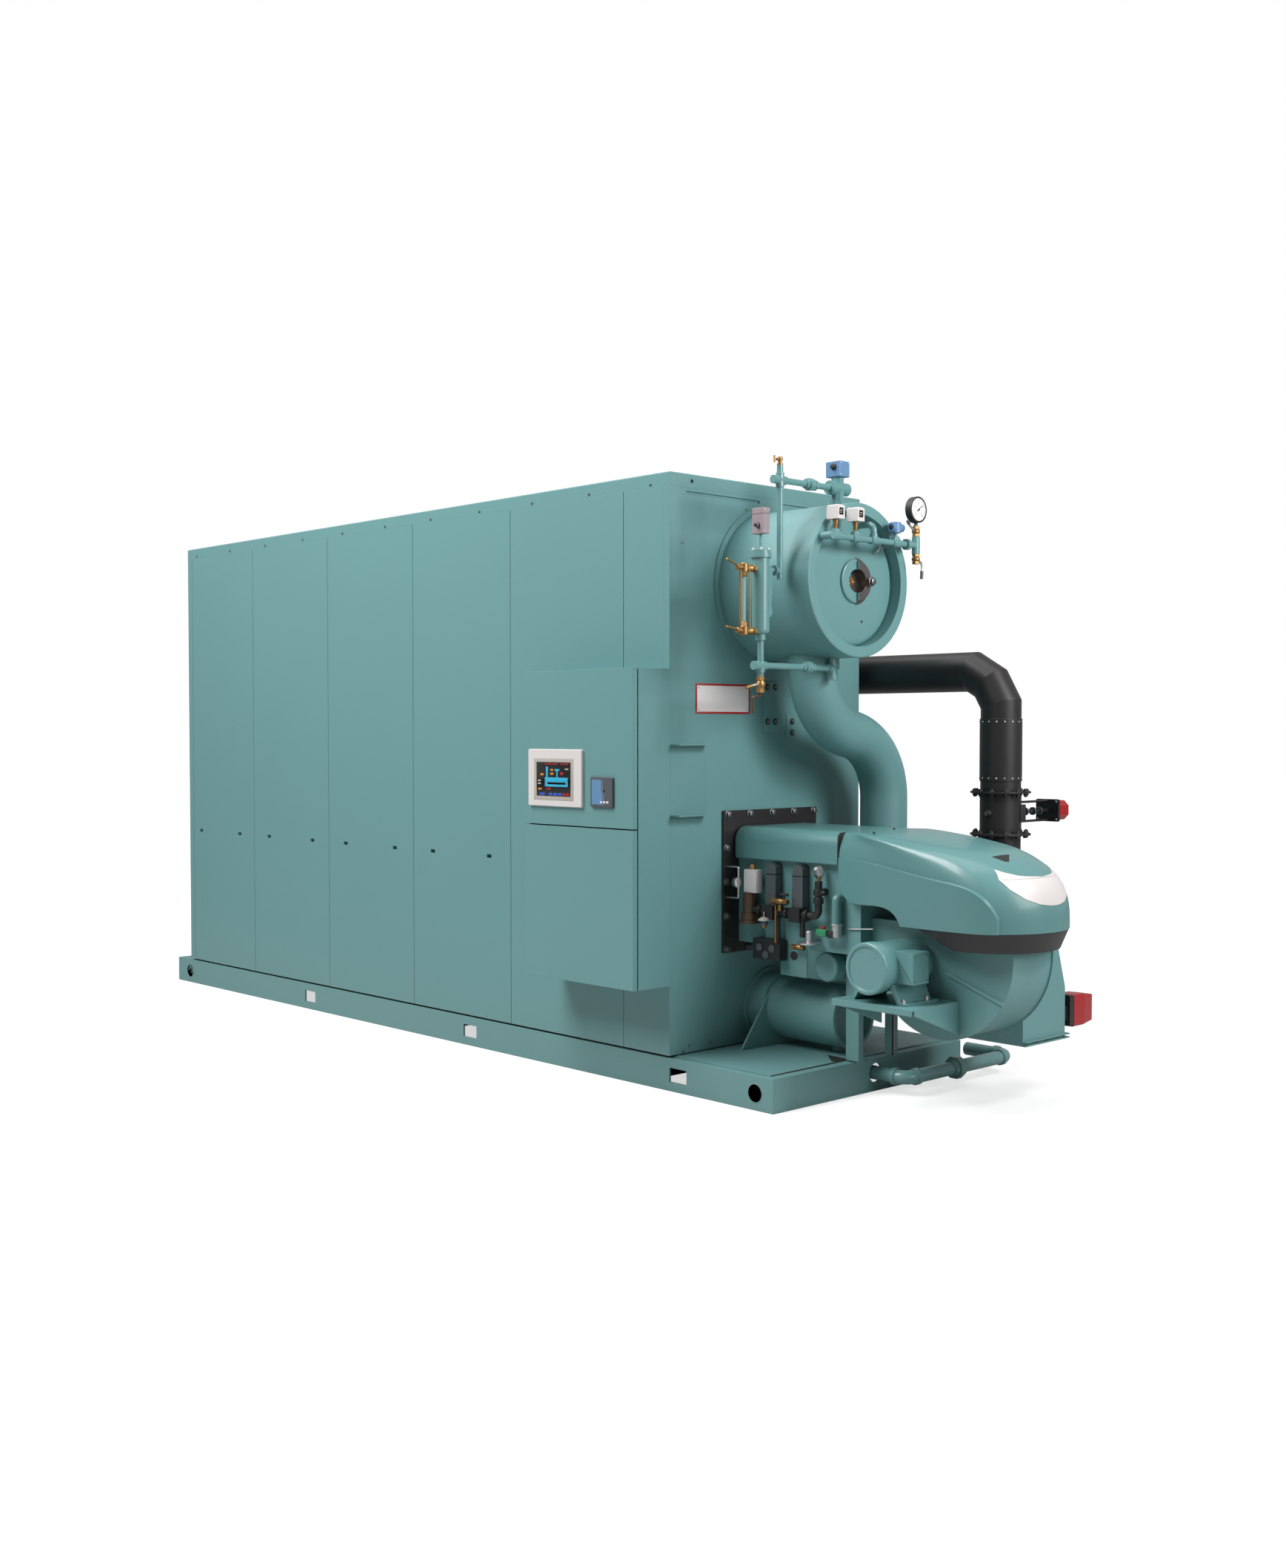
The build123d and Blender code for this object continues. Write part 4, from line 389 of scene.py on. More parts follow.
def block(low, high, soft=1.5, recess=None):
    """A block between two corners in mm with rounded edges.
    recess is (face normal, rim, depth): that face is inset by the rim and pushed in."""
    centre = [(a + b) / 2 * MM for a, b in zip(low, high)]
    size = [(b - a) * MM for a, b in zip(low, high)]
    only()
    bpy.ops.mesh.primitive_cube_add(size=1.0, location=centre, scale=size)
    piece = bpy.context.object
    settle(location=False, scale=True)
    if recess:
        normal, rim, depth = recess
        edit_mode(True)
        bpy.ops.mesh.select_all(action="DESELECT")
        edit_mode(False)
        for face in piece.data.polygons:
            face.select = face.normal.dot(Vector(normal)) > 0.9
        edit_mode(True)
        bpy.ops.mesh.inset(thickness=rim * MM, depth=0.0)
        bpy.ops.mesh.extrude_region_move(TRANSFORM_OT_translate={"value": Vector(normal) * -depth * MM})
        edit_mode(False)
    apply_modifier(
        piece, "BEVEL", width=soft * MM, segments=2, limit_method="ANGLE", angle_limit=math.radians(40)
    )
    settle()
    return piece


def cut_plate(outline, thickness):
    """A flat plate of any outline in mm, its back on its own XY plane."""
    curve = bpy.data.curves.new("outline", "CURVE")
    curve.dimensions = "2D"
    curve.fill_mode = "BOTH"
    curve.extrude = thickness / 2 * MM
    line = curve.splines.new("POLY")
    line.points.add(len(outline) - 1)
    for point, (x, y) in zip(line.points, outline):
        point.co = (x * MM, y * MM, 0.0, 1.0)
    line.use_cyclic_u = True
    piece = placed("outline", curve)
    only(piece)
    bpy.ops.object.convert(target="MESH")
    piece.location.z = thickness / 2 * MM
    settle()
    return piece


def rod(points, radius, sides=10, bend=0.0):
    """A round bar or thin pipe along points in mm, with its corners rounded over a length."""
    route = [Vector(points[0])]
    for before, here, after in zip(points, points[1:], points[2:]):
        here = Vector(here)
        if bend:
            route.append(here + (Vector(before) - here).normalized() * bend)
        route.append(here)
        if bend:
            route.append(here + (Vector(after) - here).normalized() * bend)
    route.append(Vector(points[-1]))
    curve = bpy.data.curves.new("rod", "CURVE")
    curve.dimensions = "3D"
    curve.bevel_depth = radius * MM
    curve.bevel_resolution = max(1, sides // 4)
    curve.use_fill_caps = True
    curve.resolution_u = 6 if bend else 1
    line = curve.splines.new("NURBS" if bend else "POLY")
    line.points.add(len(route) - 1)
    for point, place in zip(line.points, route):
        point.co = (*(place * MM), 1.0)
    if bend:
        line.order_u = 3
        line.use_endpoint_u = True
    piece = placed("rod", curve)
    only(piece)
    bpy.ops.object.convert(target="MESH")
    return piece


def join(pieces):
    only(*pieces)
    if len(pieces) > 1:
        bpy.ops.object.join()
    return bpy.context.object


def orient(piece, facing, place):
    """Turns a piece to a side of the boiler and moves it to its place in mm."""
    piece.rotation_euler = [math.radians(angle) for angle in FACING[facing]]
    piece.location = [c * MM for c in place]
    return piece


def stand(piece, facing, place):
    """Points a piece modelled about the origin and keeps it so."""
    only(piece)
    orient(piece, facing, place)
    settle(rotation=True)
    return piece


def copies(master, facing, places):
    """Copies of one piece at many places in mm, joined as one mesh."""
    made = [orient(placed(master.name, master.data.copy()), facing, place) for place in places]
    bpy.data.objects.remove(master)
    piece = join(made)
    settle(rotation=True)
    return piece


def finish(piece, name, finish_name, body="boiler", smooth=35.0):
    """Names a piece, or a list joined as one, gives it its finish and lets it ride on its body."""
    if isinstance(piece, list):
        piece = join(piece)
    only(piece)
    bpy.ops.object.shade_smooth_by_angle(angle=math.radians(smooth))
    piece.name = name
    piece.data.name = name
    piece.data.materials.clear()
    piece.data.materials.append(FINISH[finish_name])
    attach(piece, body)
    return piece


def hex_bolt(size, washer=True):
    """Hexagon head with a washer, for a bolt of that size in mm, standing on the XY plane."""
    parts = []
    base = 0.0
    if washer:
        base = 0.18 * size
        parts.append(turned([(1.1 * size, 0.0), (1.1 * size, base * 0.8), (1.02 * size, base)], 16))
    head = base + 0.66 * size
    parts.append(turned([(0.86 * size, base), (0.86 * size, head * 0.9), (0.7 * size, head)], 6))
    return join(parts)


def stud_nut(size):
    """Hexagon nut with the end of its stud, standing on the XY plane."""
    nut = hex_bolt(size)
    end = turned([(0.5 * size, 0.8 * size), (0.5 * size, 1.25 * size), (0.4 * size, 1.35 * size)], 12)
    return join([nut, end])


def screw(size):
    """Domed screw head of that diameter, standing on the XY plane."""
    radius = size / 2
    rings = [(radius, 0.0), (radius, 0.16 * size), (radius * 0.8, 0.3 * size), (radius * 0.4, 0.36 * size)]
    return turned(rings, 10)


def knuckle(radius, length, waist=0.8):
    """Turned valve or union body along its own Z, with hexagon ends, from 0 to a length."""
    ends = [turned([(radius, z), (radius, z + length * 0.24)], 6) for z in (0.0, length * 0.76)]
    middle = turned(
        [
            (radius * waist, length * 0.2), (radius * waist, length * 0.28), (radius * 1.06, length * 0.4),
            (radius * 1.06, length * 0.6), (radius * waist, length * 0.72), (radius * waist, length * 0.8),
        ],
        20,
    )
    return join([middle, *ends])


def lathe(name, finish_name, facing, place, rings, sides=24):
    """A turned form, stood at its place and finished."""
    return finish(stand(turned(rings, sides), facing, place), name, finish_name)


def slab(name, finish_name, low, high, soft=1.5, recess=None, body="boiler"):
    """A block between two corners, finished."""
    return finish(block(low, high, soft, recess), name, finish_name, body)


def repeats(name, finish_name, master, facing, places):
    """Copies of one piece as one mesh, finished."""
    return finish(copies(master, facing, places), name, finish_name)


def spun(piece, angle):
    """Turns a piece about the origin's Z, by degrees."""
    piece.rotation_euler = (0.0, 0.0, math.radians(angle))
    only(piece)
    settle(location=False, rotation=True)
    return piece


# Casing

ROOF_EDGE = 2634.0
PANEL_HALF = 636.5


def casing_fasteners():
    """Screws along the roof's edge and in the front wall, and the rims of the lifting holes."""
    side_ys = [FRONT + 120 + n * 405 for n in range(11)]
    for facing, x in (("left", -PANEL_HALF - 0.2), ("right", PANEL_HALF + 0.2)):
        places = [(x, y, ROOF_EDGE) for y in side_ys]
        repeats(f"roof_screws_{facing}", "dark_steel", screw(13), facing, places)
    wall = [(-515, 184), (-385, 182), (-552, 163), (-157, 2558)]
    wall += [(560, 2380), (560, 1500), (560, 760), (-560, 2380)]
    repeats("front_wall_screws", "dark_steel", screw(12), "front", [(x, FRONT, z) for x, z in wall])
    for facing, x in (("left", -636.4), ("right", 636.4)):
        ring = turned([(40.5, 0), (40.5, 1), (38.0, 1.6), (37.6, 1.6), (37.6, 0)], 40)
        holes = [(x, y, 71.5) for y in (-2427, 2379)]
        repeats(f"lifting_hole_rims_{facing}", "teal_paint", ring, facing, holes)


def sign_plate():
    """Bare white plate with a red border and a screw in each corner."""
    left, right, low, high = -480, -134, 1640, 1773
    wide = 9
    slab("sign_plate", "white_plastic", (left, FRONT - 2.5, low), (right, FRONT, high), 0.6)
    border = [
        block((left, FRONT - 3.1, low), (right, FRONT - 2, low + wide), 0.3),
        block((left, FRONT - 3.1, high - wide), (right, FRONT - 2, high), 0.3),
        block((left, FRONT - 3.1, low + wide), (left + wide, FRONT - 2, high - wide), 0.3),
        block((right - wide, FRONT - 3.1, low + wide), (right, FRONT - 2, high - wide), 0.3),
    ]
    finish(border, "sign_border", "red_plastic")
    corners = [(x, FRONT - 2.5, z) for x in (left + 19, right - 19) for z in (low + 18, high - 18)]
    repeats("sign_screws", "steel", screw(9), "front", corners)


def wall_plates():
    """Two bolted plates behind the downcomer, each with its dark-ringed bolts."""
    plates = [
        block((-42, FRONT - 4, 1560), (88, FRONT, 1788), 1.2),
        block((112, FRONT - 4, 1531), (182, FRONT, 1640), 1.2),
    ]
    finish(plates, "wall_plates", "teal_paint")
    spots = [(-18, 1765), (34, 1765), (-18, 1607), (34, 1607), (150, 1608), (150, 1556)]
    ring = turned([(15, 0), (15, 2), (13, 3)], 20)
    repeats("wall_plate_rings", "dial_ink", ring, "front", [(x, FRONT - 4, z) for x, z in spots])
    repeats("wall_plate_bolts", "dark_steel", screw(20), "front", [(x, FRONT - 7, z) for x, z in spots])


def burner_plate_bolts():
    """Hexagon bolts round the burner's black mounting plate."""
    face = ahead(12)
    spots = [(x, face, 1191) for x in (-284, -141, 7, 152, 292)]
    spots += [(x, face, z) for x in (-293, 293) for z in (1040, 889, 736, 589)]
    spots += [(x, face, 588) for x in (-147, 0, 147)]
    repeats("burner_plate_bolts", "dark_steel", hex_bolt(17), "front", spots)


def handhole_fittings():
    """The handhole's dark cover, brass stud and nut, the yoke's bolt, and two details of the head."""
    x, y, z = HANDHOLE
    cover = [(49, -6.0), (49, -1.0), (40, 0), (30, 1.5)]
    lathe("handhole_cover", "dial_ink", "front", (x, y + 44, z), cover, 40)
    stud = join([
        turned([(11, 0), (11, 26), (9, 28)], 16),
        turned([(22, 4), (22, 18), (18, 21)], 6),
        rod([(-30, -14, 8), (6, -4, 26), (30, 16, 10)], 5, 8, 8),
    ])
    finish(stand(stud, "front", (x, y + 38, z)), "handhole_stud", "brass")
    finish(stand(hex_bolt(19), "front", (x + 68, ahead(517), z)), "yoke_bolt", "dark_steel")
    hole = [(6, 0), (6, 0.8), (5.4, 1)]
    lathe("drum_test_hole", "dial_ink", "front", (74, ahead(477.2), 2043), hole, 16)
    bends = in_front((150, 478, 2350), (150, 500, 2351), (168, 505, 2372), (215, 500, 2380))
    finish(rod(bends, 4.5, 8, 8), "drum_lift_hook", "steel")


# Trim over the upper drum

MANIFOLD_Y = ahead(570.0)
COLUMN_X = -492
COLUMN_Y = ahead(400)
GAUGE_X = 336
GAUGE_Z = 2546.0
GAUGE_FACE = ahead(584.1)


def ball_valve(name, facing, place, radius, length, lever, grip="grey_plastic"):
    """Brass ball valve along an axis, with a bent lever through points in mm and a sleeve on its end."""
    finish(stand(knuckle(radius, length), facing, place), f"{name}_body", "brass")
    finish(rod(lever, radius * 0.28, 8, radius * 0.4), f"{name}_lever", "steel")
    last, end = Vector(lever[-2]), Vector(lever[-1])
    sleeve = rod([last.lerp(end, 0.35), end + (end - last).normalized() * 3], radius * 0.42, 10)
    finish(sleeve, f"{name}_grip", grip)


def upper_trim():
    """Petcock, switch windows, cones, knobs and small valves of the trim on the drum."""
    y = COLUMN_Y
    petcock = join([
        turned([(13, 0), (13, 9), (9, 11), (9, 22), (12, 24), (12, 34), (8, 38)], 16),
        rod([(-6, 0, 24), (-34, 0, 26)], 5, 8),
        rod([(-34, 0, 12), (-34, 0, 40)], 4.5, 8),
    ])
    finish(stand(petcock, "up", (-374, y, 2684)), "vent_petcock", "brass")
    for n, (z, x) in enumerate(((2624, -197), (1838, -212), (2241, -197))):
        finish(stand(knuckle(24, 50, 0.86), "right", (x, y, z)), f"trim_union_{n + 1}", "teal_paint")
    gland = [(14, 0), (14, 6), (10, 8), (10, 14), (6, 15)]
    lathe("level_switch_gland", "dial_ink", "left", (-33, y - 6, 2716), gland, 16)
    lid = [(x, ahead(440.2), z) for x in (-24, 25) for z in (2681, 2731)]
    repeats("level_switch_screws", "steel", screw(7), "front", lid)
    switch_xs = (-212, -82)
    y = MANIFOLD_Y
    face = y - 31
    windows = [block((x - 13, face - 0.9, 2474), (x + 13, face + 1, 2504), 0.4) for x in switch_xs]
    finish(windows, "switch_windows", "screen_black")
    marks = []
    for x in switch_xs:
        marks.append(block((x - 8, face - 1.3, 2491), (x + 8, face - 0.6, 2495), 0.2))
        marks.append(block((x - 8, face - 1.3, 2482), (x + 2, face - 0.6, 2486), 0.2))
    finish(marks, "switch_window_marks", "frame_beige")
    cone = turned([(6, 0), (7, 6), (12, 34), (13, 43)])
    repeats("switch_cones", "brass", cone, "up", [(x, y, 2414) for x in switch_xs])
    nut = turned([(20, 0), (20, 12), (16, 14)], 6)
    repeats("switch_nuts", "teal_paint", nut, "up", [(x, y, 2400) for x in (*switch_xs, 192)])
    port = [(12, 0), (12, 1), (11, 1.4)]
    lathe("transmitter_port", "dial_ink", "left", (160, y, 2456), port, 20)
    knob = [(15, 0), (17, 2), (17, 10), (13, 13)]
    lathe("transmitter_knob", "knob_blue", "right", (226, y, 2456), knob)
    x = GAUGE_X
    lever = [(x - 16, y, 2456), (x - 42, y, 2472), (x - 58, y, 2492)]
    ball_valve("gauge_cock", "up", (x, y, 2428), 17, 44, lever)
    lever = [(x + 16, y, 2326), (x + 40, y, 2312), (x + 46, y, 2296), (x + 43, y, 2246)]
    ball_valve("siphon_cock", "down", (x, y, 2350), 17, 44, lever)


def gauge_number(value, radius, angle):
    """A number on the gauge's face, that far from its centre, with the angle clockwise from the top."""
    only()
    bpy.ops.object.text_add()
    number = bpy.context.object
    text = number.data
    text.body = str(value)
    text.size = 11 * MM
    text.align_x = text.align_y = "CENTER"
    text.extrude = 0.25 * MM
    text.resolution_u = 2
    only(number)
    bpy.ops.object.convert(target="MESH")
    turn = math.radians(angle)
    number.location = (radius * math.sin(turn) * MM, radius * math.cos(turn) * MM, 0.25 * MM)
    settle()
    return number


def pressure_gauge_dial():
    """Dial with ticks, plain numbers and a needle, behind the rim."""
    x, z = GAUGE_X, GAUGE_Z
    face = [(50, 0), (50, 1), (49.6, 1.2)]
    lathe("gauge_dial", "dial_white", "front", (x, GAUGE_FACE, z), face, 64)
    marks = []
    sweep, first, count = 270.0, -135.0, 40
    for n in range(count + 1):
        angle = first + sweep * n / count
        inner, wide = (42.0, 0.45) if n % 5 else (38.5, 0.9)
        marks.append(spun(block((-wide, inner, 0.0), (wide, 46.0, 0.5), 0.1), -angle))
        if n % 10 == 0:
            marks.append(gauge_number(n // 10 * 4, 29.5, angle))
    finish(stand(join(marks), "front", (x, GAUGE_FACE - 1.1, z)), "gauge_marks", "dial_ink")
    needle = cut_plate([(-2.2, -15), (2.2, -15), (1.7, 0), (0.5, 40), (-0.5, 40), (-1.7, 0)], 0.8)
    hub = turned([(5, 0), (5, 1.6), (3.6, 2.4)], 20)
    needle = join([spun(needle, -52.0), hub])
    finish(stand(needle, "front", (x, GAUGE_FACE - 2.4, z)), "gauge_needle", "dial_ink")


def water_gauge():
    """Glass, guard rods, cocks and levers of the water column, and the fittings of its switch and drain."""
    x, y = -593, COLUMN_Y
    lathe("gauge_glass_tube", "tube_pale", "up", (x, y, 2003), [(6.5, 0), (6.5, 214)])
    cocks = []
    for z, nut_facing, nut_z in ((2240, "down", 2223), (1980, "up", 1997)):
        body = turned([(14, -20.0), (17, -16.0), (17, 16), (14, 20)], 20)
        nut = turned([(15, 0), (15, 16), (12, 20)], 6)
        stem = turned([(8, 0), (8, 22), (12, 22.5), (12, 30), (8, 32)], 16)
        cocks += [
            stand(body, "up", (x, y, z)),
            stand(nut, nut_facing, (x, y, nut_z)),
            stand(knuckle(15, 60), "right", (x + 10, y, z)),
            stand(stem, "left", (x - 12, y, z)),
        ]
    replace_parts(finish(cocks, "gauge_cocks", "brass"), "gauge_glass")
    levers = []
    for z, rise in ((2240, 30), (1980, 13)):
        bends = [(x - 36, y, z + 4), (x - 60, y - 2, z + rise * 0.5), (x - 108, y - 4, z + rise)]
        levers.append(rod(bends, 4.5, 8, 8))
    finish(levers, "gauge_levers", "brass")
    rods = [rod([(x + dx, y + dy, 1990), (x + dx, y + dy, 2230)], 2.6, 8)
            for dx, dy in ((-24, -6), (18, -16), (16, 16), (-8, 18))]
    finish(rods, "gauge_guard_rods", "brass")
    x = COLUMN_X
    quarters = [math.radians(45 + 90 * n) for n in range(4)]
    nuts = [(x + 32 * math.cos(turn), y + 32 * math.sin(turn), 2319) for turn in quarters]
    repeats("column_nuts", "steel", stud_nut(9), "up", nuts)
    lid = [(x + dx, y - 34.2, z) for dx in (-12, 12) for z in (2396, 2487)]
    repeats("column_switch_screws", "steel", screw(5), "front", lid)
    low, high = (x - 19.2, y - 34.7, 2470), (x + 19.2, y + 34.7, 2471.6)
    slab("column_switch_lid_line", "dial_ink", low, high, 0.2)
    gland = [(12, 0), (12, 6), (8, 8), (8, 18), (5, 19)]
    lathe("column_switch_gland", "dial_ink", "left", (x - 18, y, 2423), gland, 16)
    lever = [(x - 18, y, 1757), (x - 34, y, 1757), (x - 84, y, 1744)]
    ball_valve("column_drain", "down", (x, y, 1792), 19, 68, lever, "brass")
    pipe = rod([(x, y, 1726), (x, y, 1712), (x - 46, y, 1706), (x - 46, y, 1640)], 6, 12, 10)
    finish(pipe, "column_drain_pipe", "amber_paint")


# Gas train

def on_train(*points):
    """Places in mm by the gas train's middle line, as in_front gives them."""
    return in_front(*points, x=-260)


def dial(name, place, radius):
    """Small gauge with a dark rim, a white face, ticks and a needle, facing the front."""
    x, y, z = place
    face = 0.92 * radius
    case = [(0.9 * radius, 0.0), (radius, 2.0), (radius, 17.0), (0.97 * radius, 19.0),
            (0.93 * radius, 19.0), (face, 16.0)]
    lathe(f"{name}_case", "dark_steel", "front", place, case, 32)
    lathe(f"{name}_face", "dial_white", "front", (x, y - 16.3, z), [(face, 0.0), (face, 0.5)], 32)
    needle = cut_plate([(-1.1, -5), (1.1, -5), (0.4, radius * 0.7), (-0.4, radius * 0.7)], 0.5)
    marks = [spun(needle, 40)]
    for n in range(9):
        tick = block((-0.5, radius * 0.64, 0.0), (0.5, radius * 0.78, 0.4), 0.1)
        marks.append(spun(tick, -135 + n * 33.75))
    finish(stand(join(marks), "front", (x, y - 17.1, z)), f"{name}_marks", "dial_ink")


def gas_fittings():
    """Gauges, regulators, valves and small pipes hung on the gas train."""
    loop = on_train((-30, 10, 960), (-30, 82, 961), (-30, 82, 823), (-30, 10, 822))
    finish(rod(loop, 4.5, 10, 18), "gas_impulse_loop", "steel")
    dial("inlet_gauge", *on_train((-30, 62, 892)), 25)
    dial("riser_gauge", *on_train((0, 514, 966)), 27)
    upright = {
        "riser_gauge_stem": ("brass", (0, 525, 922), [(8, 0), (8, 12), (11, 14), (11, 22), (7, 24)], 12),
        "relief_cap": ("brass", (0, 138, 952), [(15, 0), (15, 14), (11, 20), (11, 24)], 20),
        "pilot_regulator_base": ("brass", (-30, 236, 706), [(11, 0), (11, 8), (15, 10), (15, 14)], 20),
        "pilot_regulator_body": ("knob_blue", (-30, 236, 720), [(15, 0), (17, 3), (17, 12), (26, 16)], 28),
        "pilot_regulator_dome": (
            "frame_beige", (-30, 236, 736), [(27, 0), (27, 3), (22, 9), (12, 14), (5, 16)], 28),
        "pilot_regulator_pin": ("steel", (-30, 236, 752), [(3, 0), (3, 16), (4.5, 17), (4.5, 22)], 12),
        "vent_valve_cap": ("red_plastic", (-2, 550, 724), [(11, 0), (11, 8), (8, 11)], 20),
        "governor_disc": (
            "steel", (0, 472, 650), [(20, 0), (54, 3), (54, 9), (44, 13), (17, 15), (17, 56), (13, 60)], 40),
        "air_pipe_sleeve": ("steel", (14, 612, 694), [(24, 0), (24, 46), (27, 48), (27, 56)], 28),
    }
    for name, (finish_name, place, rings, sides) in upright.items():
        lathe(name, finish_name, "up", *on_train(place), rings, sides)
    ring = [(20, 0), (20, 2), (13, 2.4)]
    lathe("header_plate_ring", "dial_ink", "left", *on_train((43, 348, 586)), ring, 28)
    slab("relief_box", "white_plastic", *on_train((-20, 178, 850), (22, 104, 953)), 3)
    slab("vent_valve_body", "green_paint", *on_train((-18, 578, 694), (14, 522, 724)), 5)
    slab("vent_valve_coupling", "dial_ink", *on_train((-14, 612, 690), (12, 580, 722)), 4)
    slab("header_plate", "teal_hood", *on_train((43, 421, 495), (47, 268, 629)), 0.8)
    lines = [block(*on_train((-0.8, distance + 30, 936), (40.8, distance - 30, 940)), 0.3)
             for distance in (247, 403)]
    finish(lines, "gas_drive_lines", "screen_black")
    tees = [
        stand(knuckle(13, 92), "front", *on_train((-26, 279, 826))),
        rod(on_train((-26, 325, 812), (-26, 325, 786)), 8, 12),
    ]
    finish(tees, "gas_test_tees", "brass")
    handle = [
        rod(on_train((-26, 350, 834), (-26, 350, 856)), 5, 8),
        rod(on_train((-26, 330, 857), (-26, 372, 857)), 6, 8),
    ]
    finish(handle, "gas_test_handle", "dial_ink")
    riser = on_train((-22, 297, 806), (-22, 297, 647), (-10, 297, 640))
    finish(rod(riser, 4.5, 10, 8), "pilot_riser", "brass")
    knob = turned([(17, 0), (17, 3), (12, 4.5), (12, 6)])
    places = on_train((-8, 188, 612), (-8, 262, 612), (-8, 225, 582))
    repeats("pilot_drive_dials", "grey_plastic", knob, "left", places)
    finish(stand(knuckle(12, 70), "front", *on_train((14, 362, 630))), "pilot_cock", "brass")
    elbow = on_train((46, 612, 856), (14, 612, 856), (14, 612, 748))
    finish(rod(elbow, 21, 24, 22), "air_pipe", "teal_hood")
    finish(rod(on_train((42, 650, 728), (42, 786, 740)), 3.2, 8), "air_link_rod", "steel")


# Burner nose, fan, motor and intake

BADGE_TOP = [(0, 989), (35, 991), (80, 993), (119, 997), (160, 1010), (180, 1021)]
BADGE_BOTTOM = [(200, 983), (185, 947), (142, 909), (82, 888), (30, 881), (0, 880)]
VENT = [(-118, ahead(1304)), (-18, ahead(1316)), (-80, ahead(1358)), (-97, ahead(1352))]
HOOD_HALF = 249.0
HOOD_TOP = 1136.0
HOOD_CORNER = 26.0
POST_ROD = (107, ahead(642))


def wrapped(outline, facing, place, axis, forwards, thick):
    """A thin sheet of an outline in mm, pressed along an axis onto the burner's nose."""
    sheet = stand(cut_plate(outline, 0.0), facing, place)
    edit_mode(True)
    bpy.ops.mesh.select_all(action="SELECT")
    bpy.ops.mesh.subdivide(number_cuts=7)
    bpy.ops.mesh.remove_doubles(threshold=0.00002)
    edit_mode(False)
    apply_modifier(
        sheet, "SHRINKWRAP", target=frame["nodes"]["burner_nose"], wrap_method="PROJECT",
        use_project_x=False, use_project_y=axis == "y", use_project_z=axis == "z",
        use_positive_direction=forwards, use_negative_direction=not forwards,
        wrap_mode="ABOVE_SURFACE", offset=thick * MM,
    )
    apply_modifier(sheet, "SOLIDIFY", thickness=thick * MM, offset=0.0)
    return sheet


def nose_details():
    """Bare badge and vent on the burner's nose, its pins and the dark joint to the hood."""
    right = BADGE_TOP + BADGE_BOTTOM
    left = [(-x, z) for x, z in reversed(right[1:-1])]
    badge = wrapped(right + left, "front", (0, ahead(1620), 0), "y", True, 1.2)
    finish(badge, "nose_badge", "white_plastic", smooth=50.0)
    finish(wrapped(VENT, "up", (0, 0, 1230), "z", False, 1.0), "nose_vent", "dial_ink")
    pin = turned([(4.5, 0), (4.5, 7), (3, 9)], 14)
    repeats("nose_pins", "dial_ink", pin, "up", [(70, ahead(667), 1137), (-217, ahead(788), 1137)])
    outline = [(-HOOD_HALF, 998), (HOOD_HALF, 998)]
    for middle, start in ((HOOD_HALF - HOOD_CORNER, 0), (HOOD_CORNER - HOOD_HALF, 90)):
        for n in range(7):
            turn = math.radians(start + 15 * n)
            across = middle + HOOD_CORNER * math.cos(turn)
            outline.append((across, HOOD_TOP - HOOD_CORNER + HOOD_CORNER * math.sin(turn)))
    finish(stand(cut_plate(outline, 6.0), "front", (0, ahead(617.6), 0)), "hood_gasket", "seal")


def motor_details():
    """Black line painted as the shade in the crease on the side of the fan motor's conduit box, the box's
    lid, and the studs of its feet.
    """
    # Thin black rod along the crease: painted shade.
    crease = in_front((-384.4, 1024, 682), (-384.4, 1116, 563))
    finish(rod(crease, 0.9, 6), "conduit_crease_painted_shade", "dial_ink")
    lid = in_front((-378, 1121.2, 565), (-287, 1119, 680))
    slab("conduit_lid", "teal_hood", *lid, 0.8, ((0, -1, 0), 6, 0.6))
    screws = [(x, ahead(1121.4), z) for x in (-371, -294) for z in (572, 673)]
    repeats("conduit_screws", "dark_steel", screw(8), "front", screws)
    feet = [(x, ahead(distance), 483) for x in (-380, -232) for distance in (832, 1072)]
    repeats("motor_foot_bolts", "steel", stud_nut(12), "up", feet)


def post_rods():
    """Levelling rod with its nuts in the slot of the burner's second post, the slot drawn as a black strip of
    painted shade.
    """
    x, y = POST_ROD
    # Black strip standing for the shade inside the post's slot.
    slab("post_slot_painted_shade", "dial_ink", *in_front((x - 5, 636.2, 168), (x + 4, 634.5, 452)), 0.5)
    finish(rod([(x, y, 151), (x, y, 466)], 5, 12), "post_rod", "dark_steel")
    repeats("post_nuts", "dark_steel", hex_bolt(10), "up", [(x, y, z) for z in (151, 440)])


def intake_details():
    """Flange screws, link bracket and shaft of the air intake."""
    screws = [(x, ahead(1280.2), 280) for x in (170, 240, 310, 380, 440)]
    repeats("intake_flange_screws", "dark_steel", screw(9), "front", screws)
    bracket = [
        block(*in_front((449, 1262, 330), (455, 1190, 430)), 1),
        block(*in_front((455, 1258, 352), (503, 1246, 362)), 1.5),
        block(*in_front((455, 1220, 352), (503, 1208, 362)), 1.5),
    ]
    finish(bracket, "intake_link_bracket", "dark_steel")
    heads = [(455, ahead(distance), z) for distance in (1200, 1252) for z in (342, 418)]
    repeats("intake_link_bolts", "steel", hex_bolt(9), "right", heads)
    shaft = [(9, 0), (9, 24), (15, 25), (15, 38), (9, 39), (9, 54)]
    lathe("intake_shaft", "steel", "right", (449, ahead(1245), 378), shaft, 20)


# Flue duct

DUCT_X = 784.0
DUCT_Y = -2636.0
DUCT_BOLT_CIRCLE = 118
SLEEVE_RADIUS = 96
DAMPER_Z = 1188


def round_duct(radius, angle, z):
    """A place at a radius from the upright duct's axis, with the angle in degrees."""
    turn = math.radians(angle)
    return DUCT_X + radius * math.cos(turn), DUCT_Y + radius * math.sin(turn), z


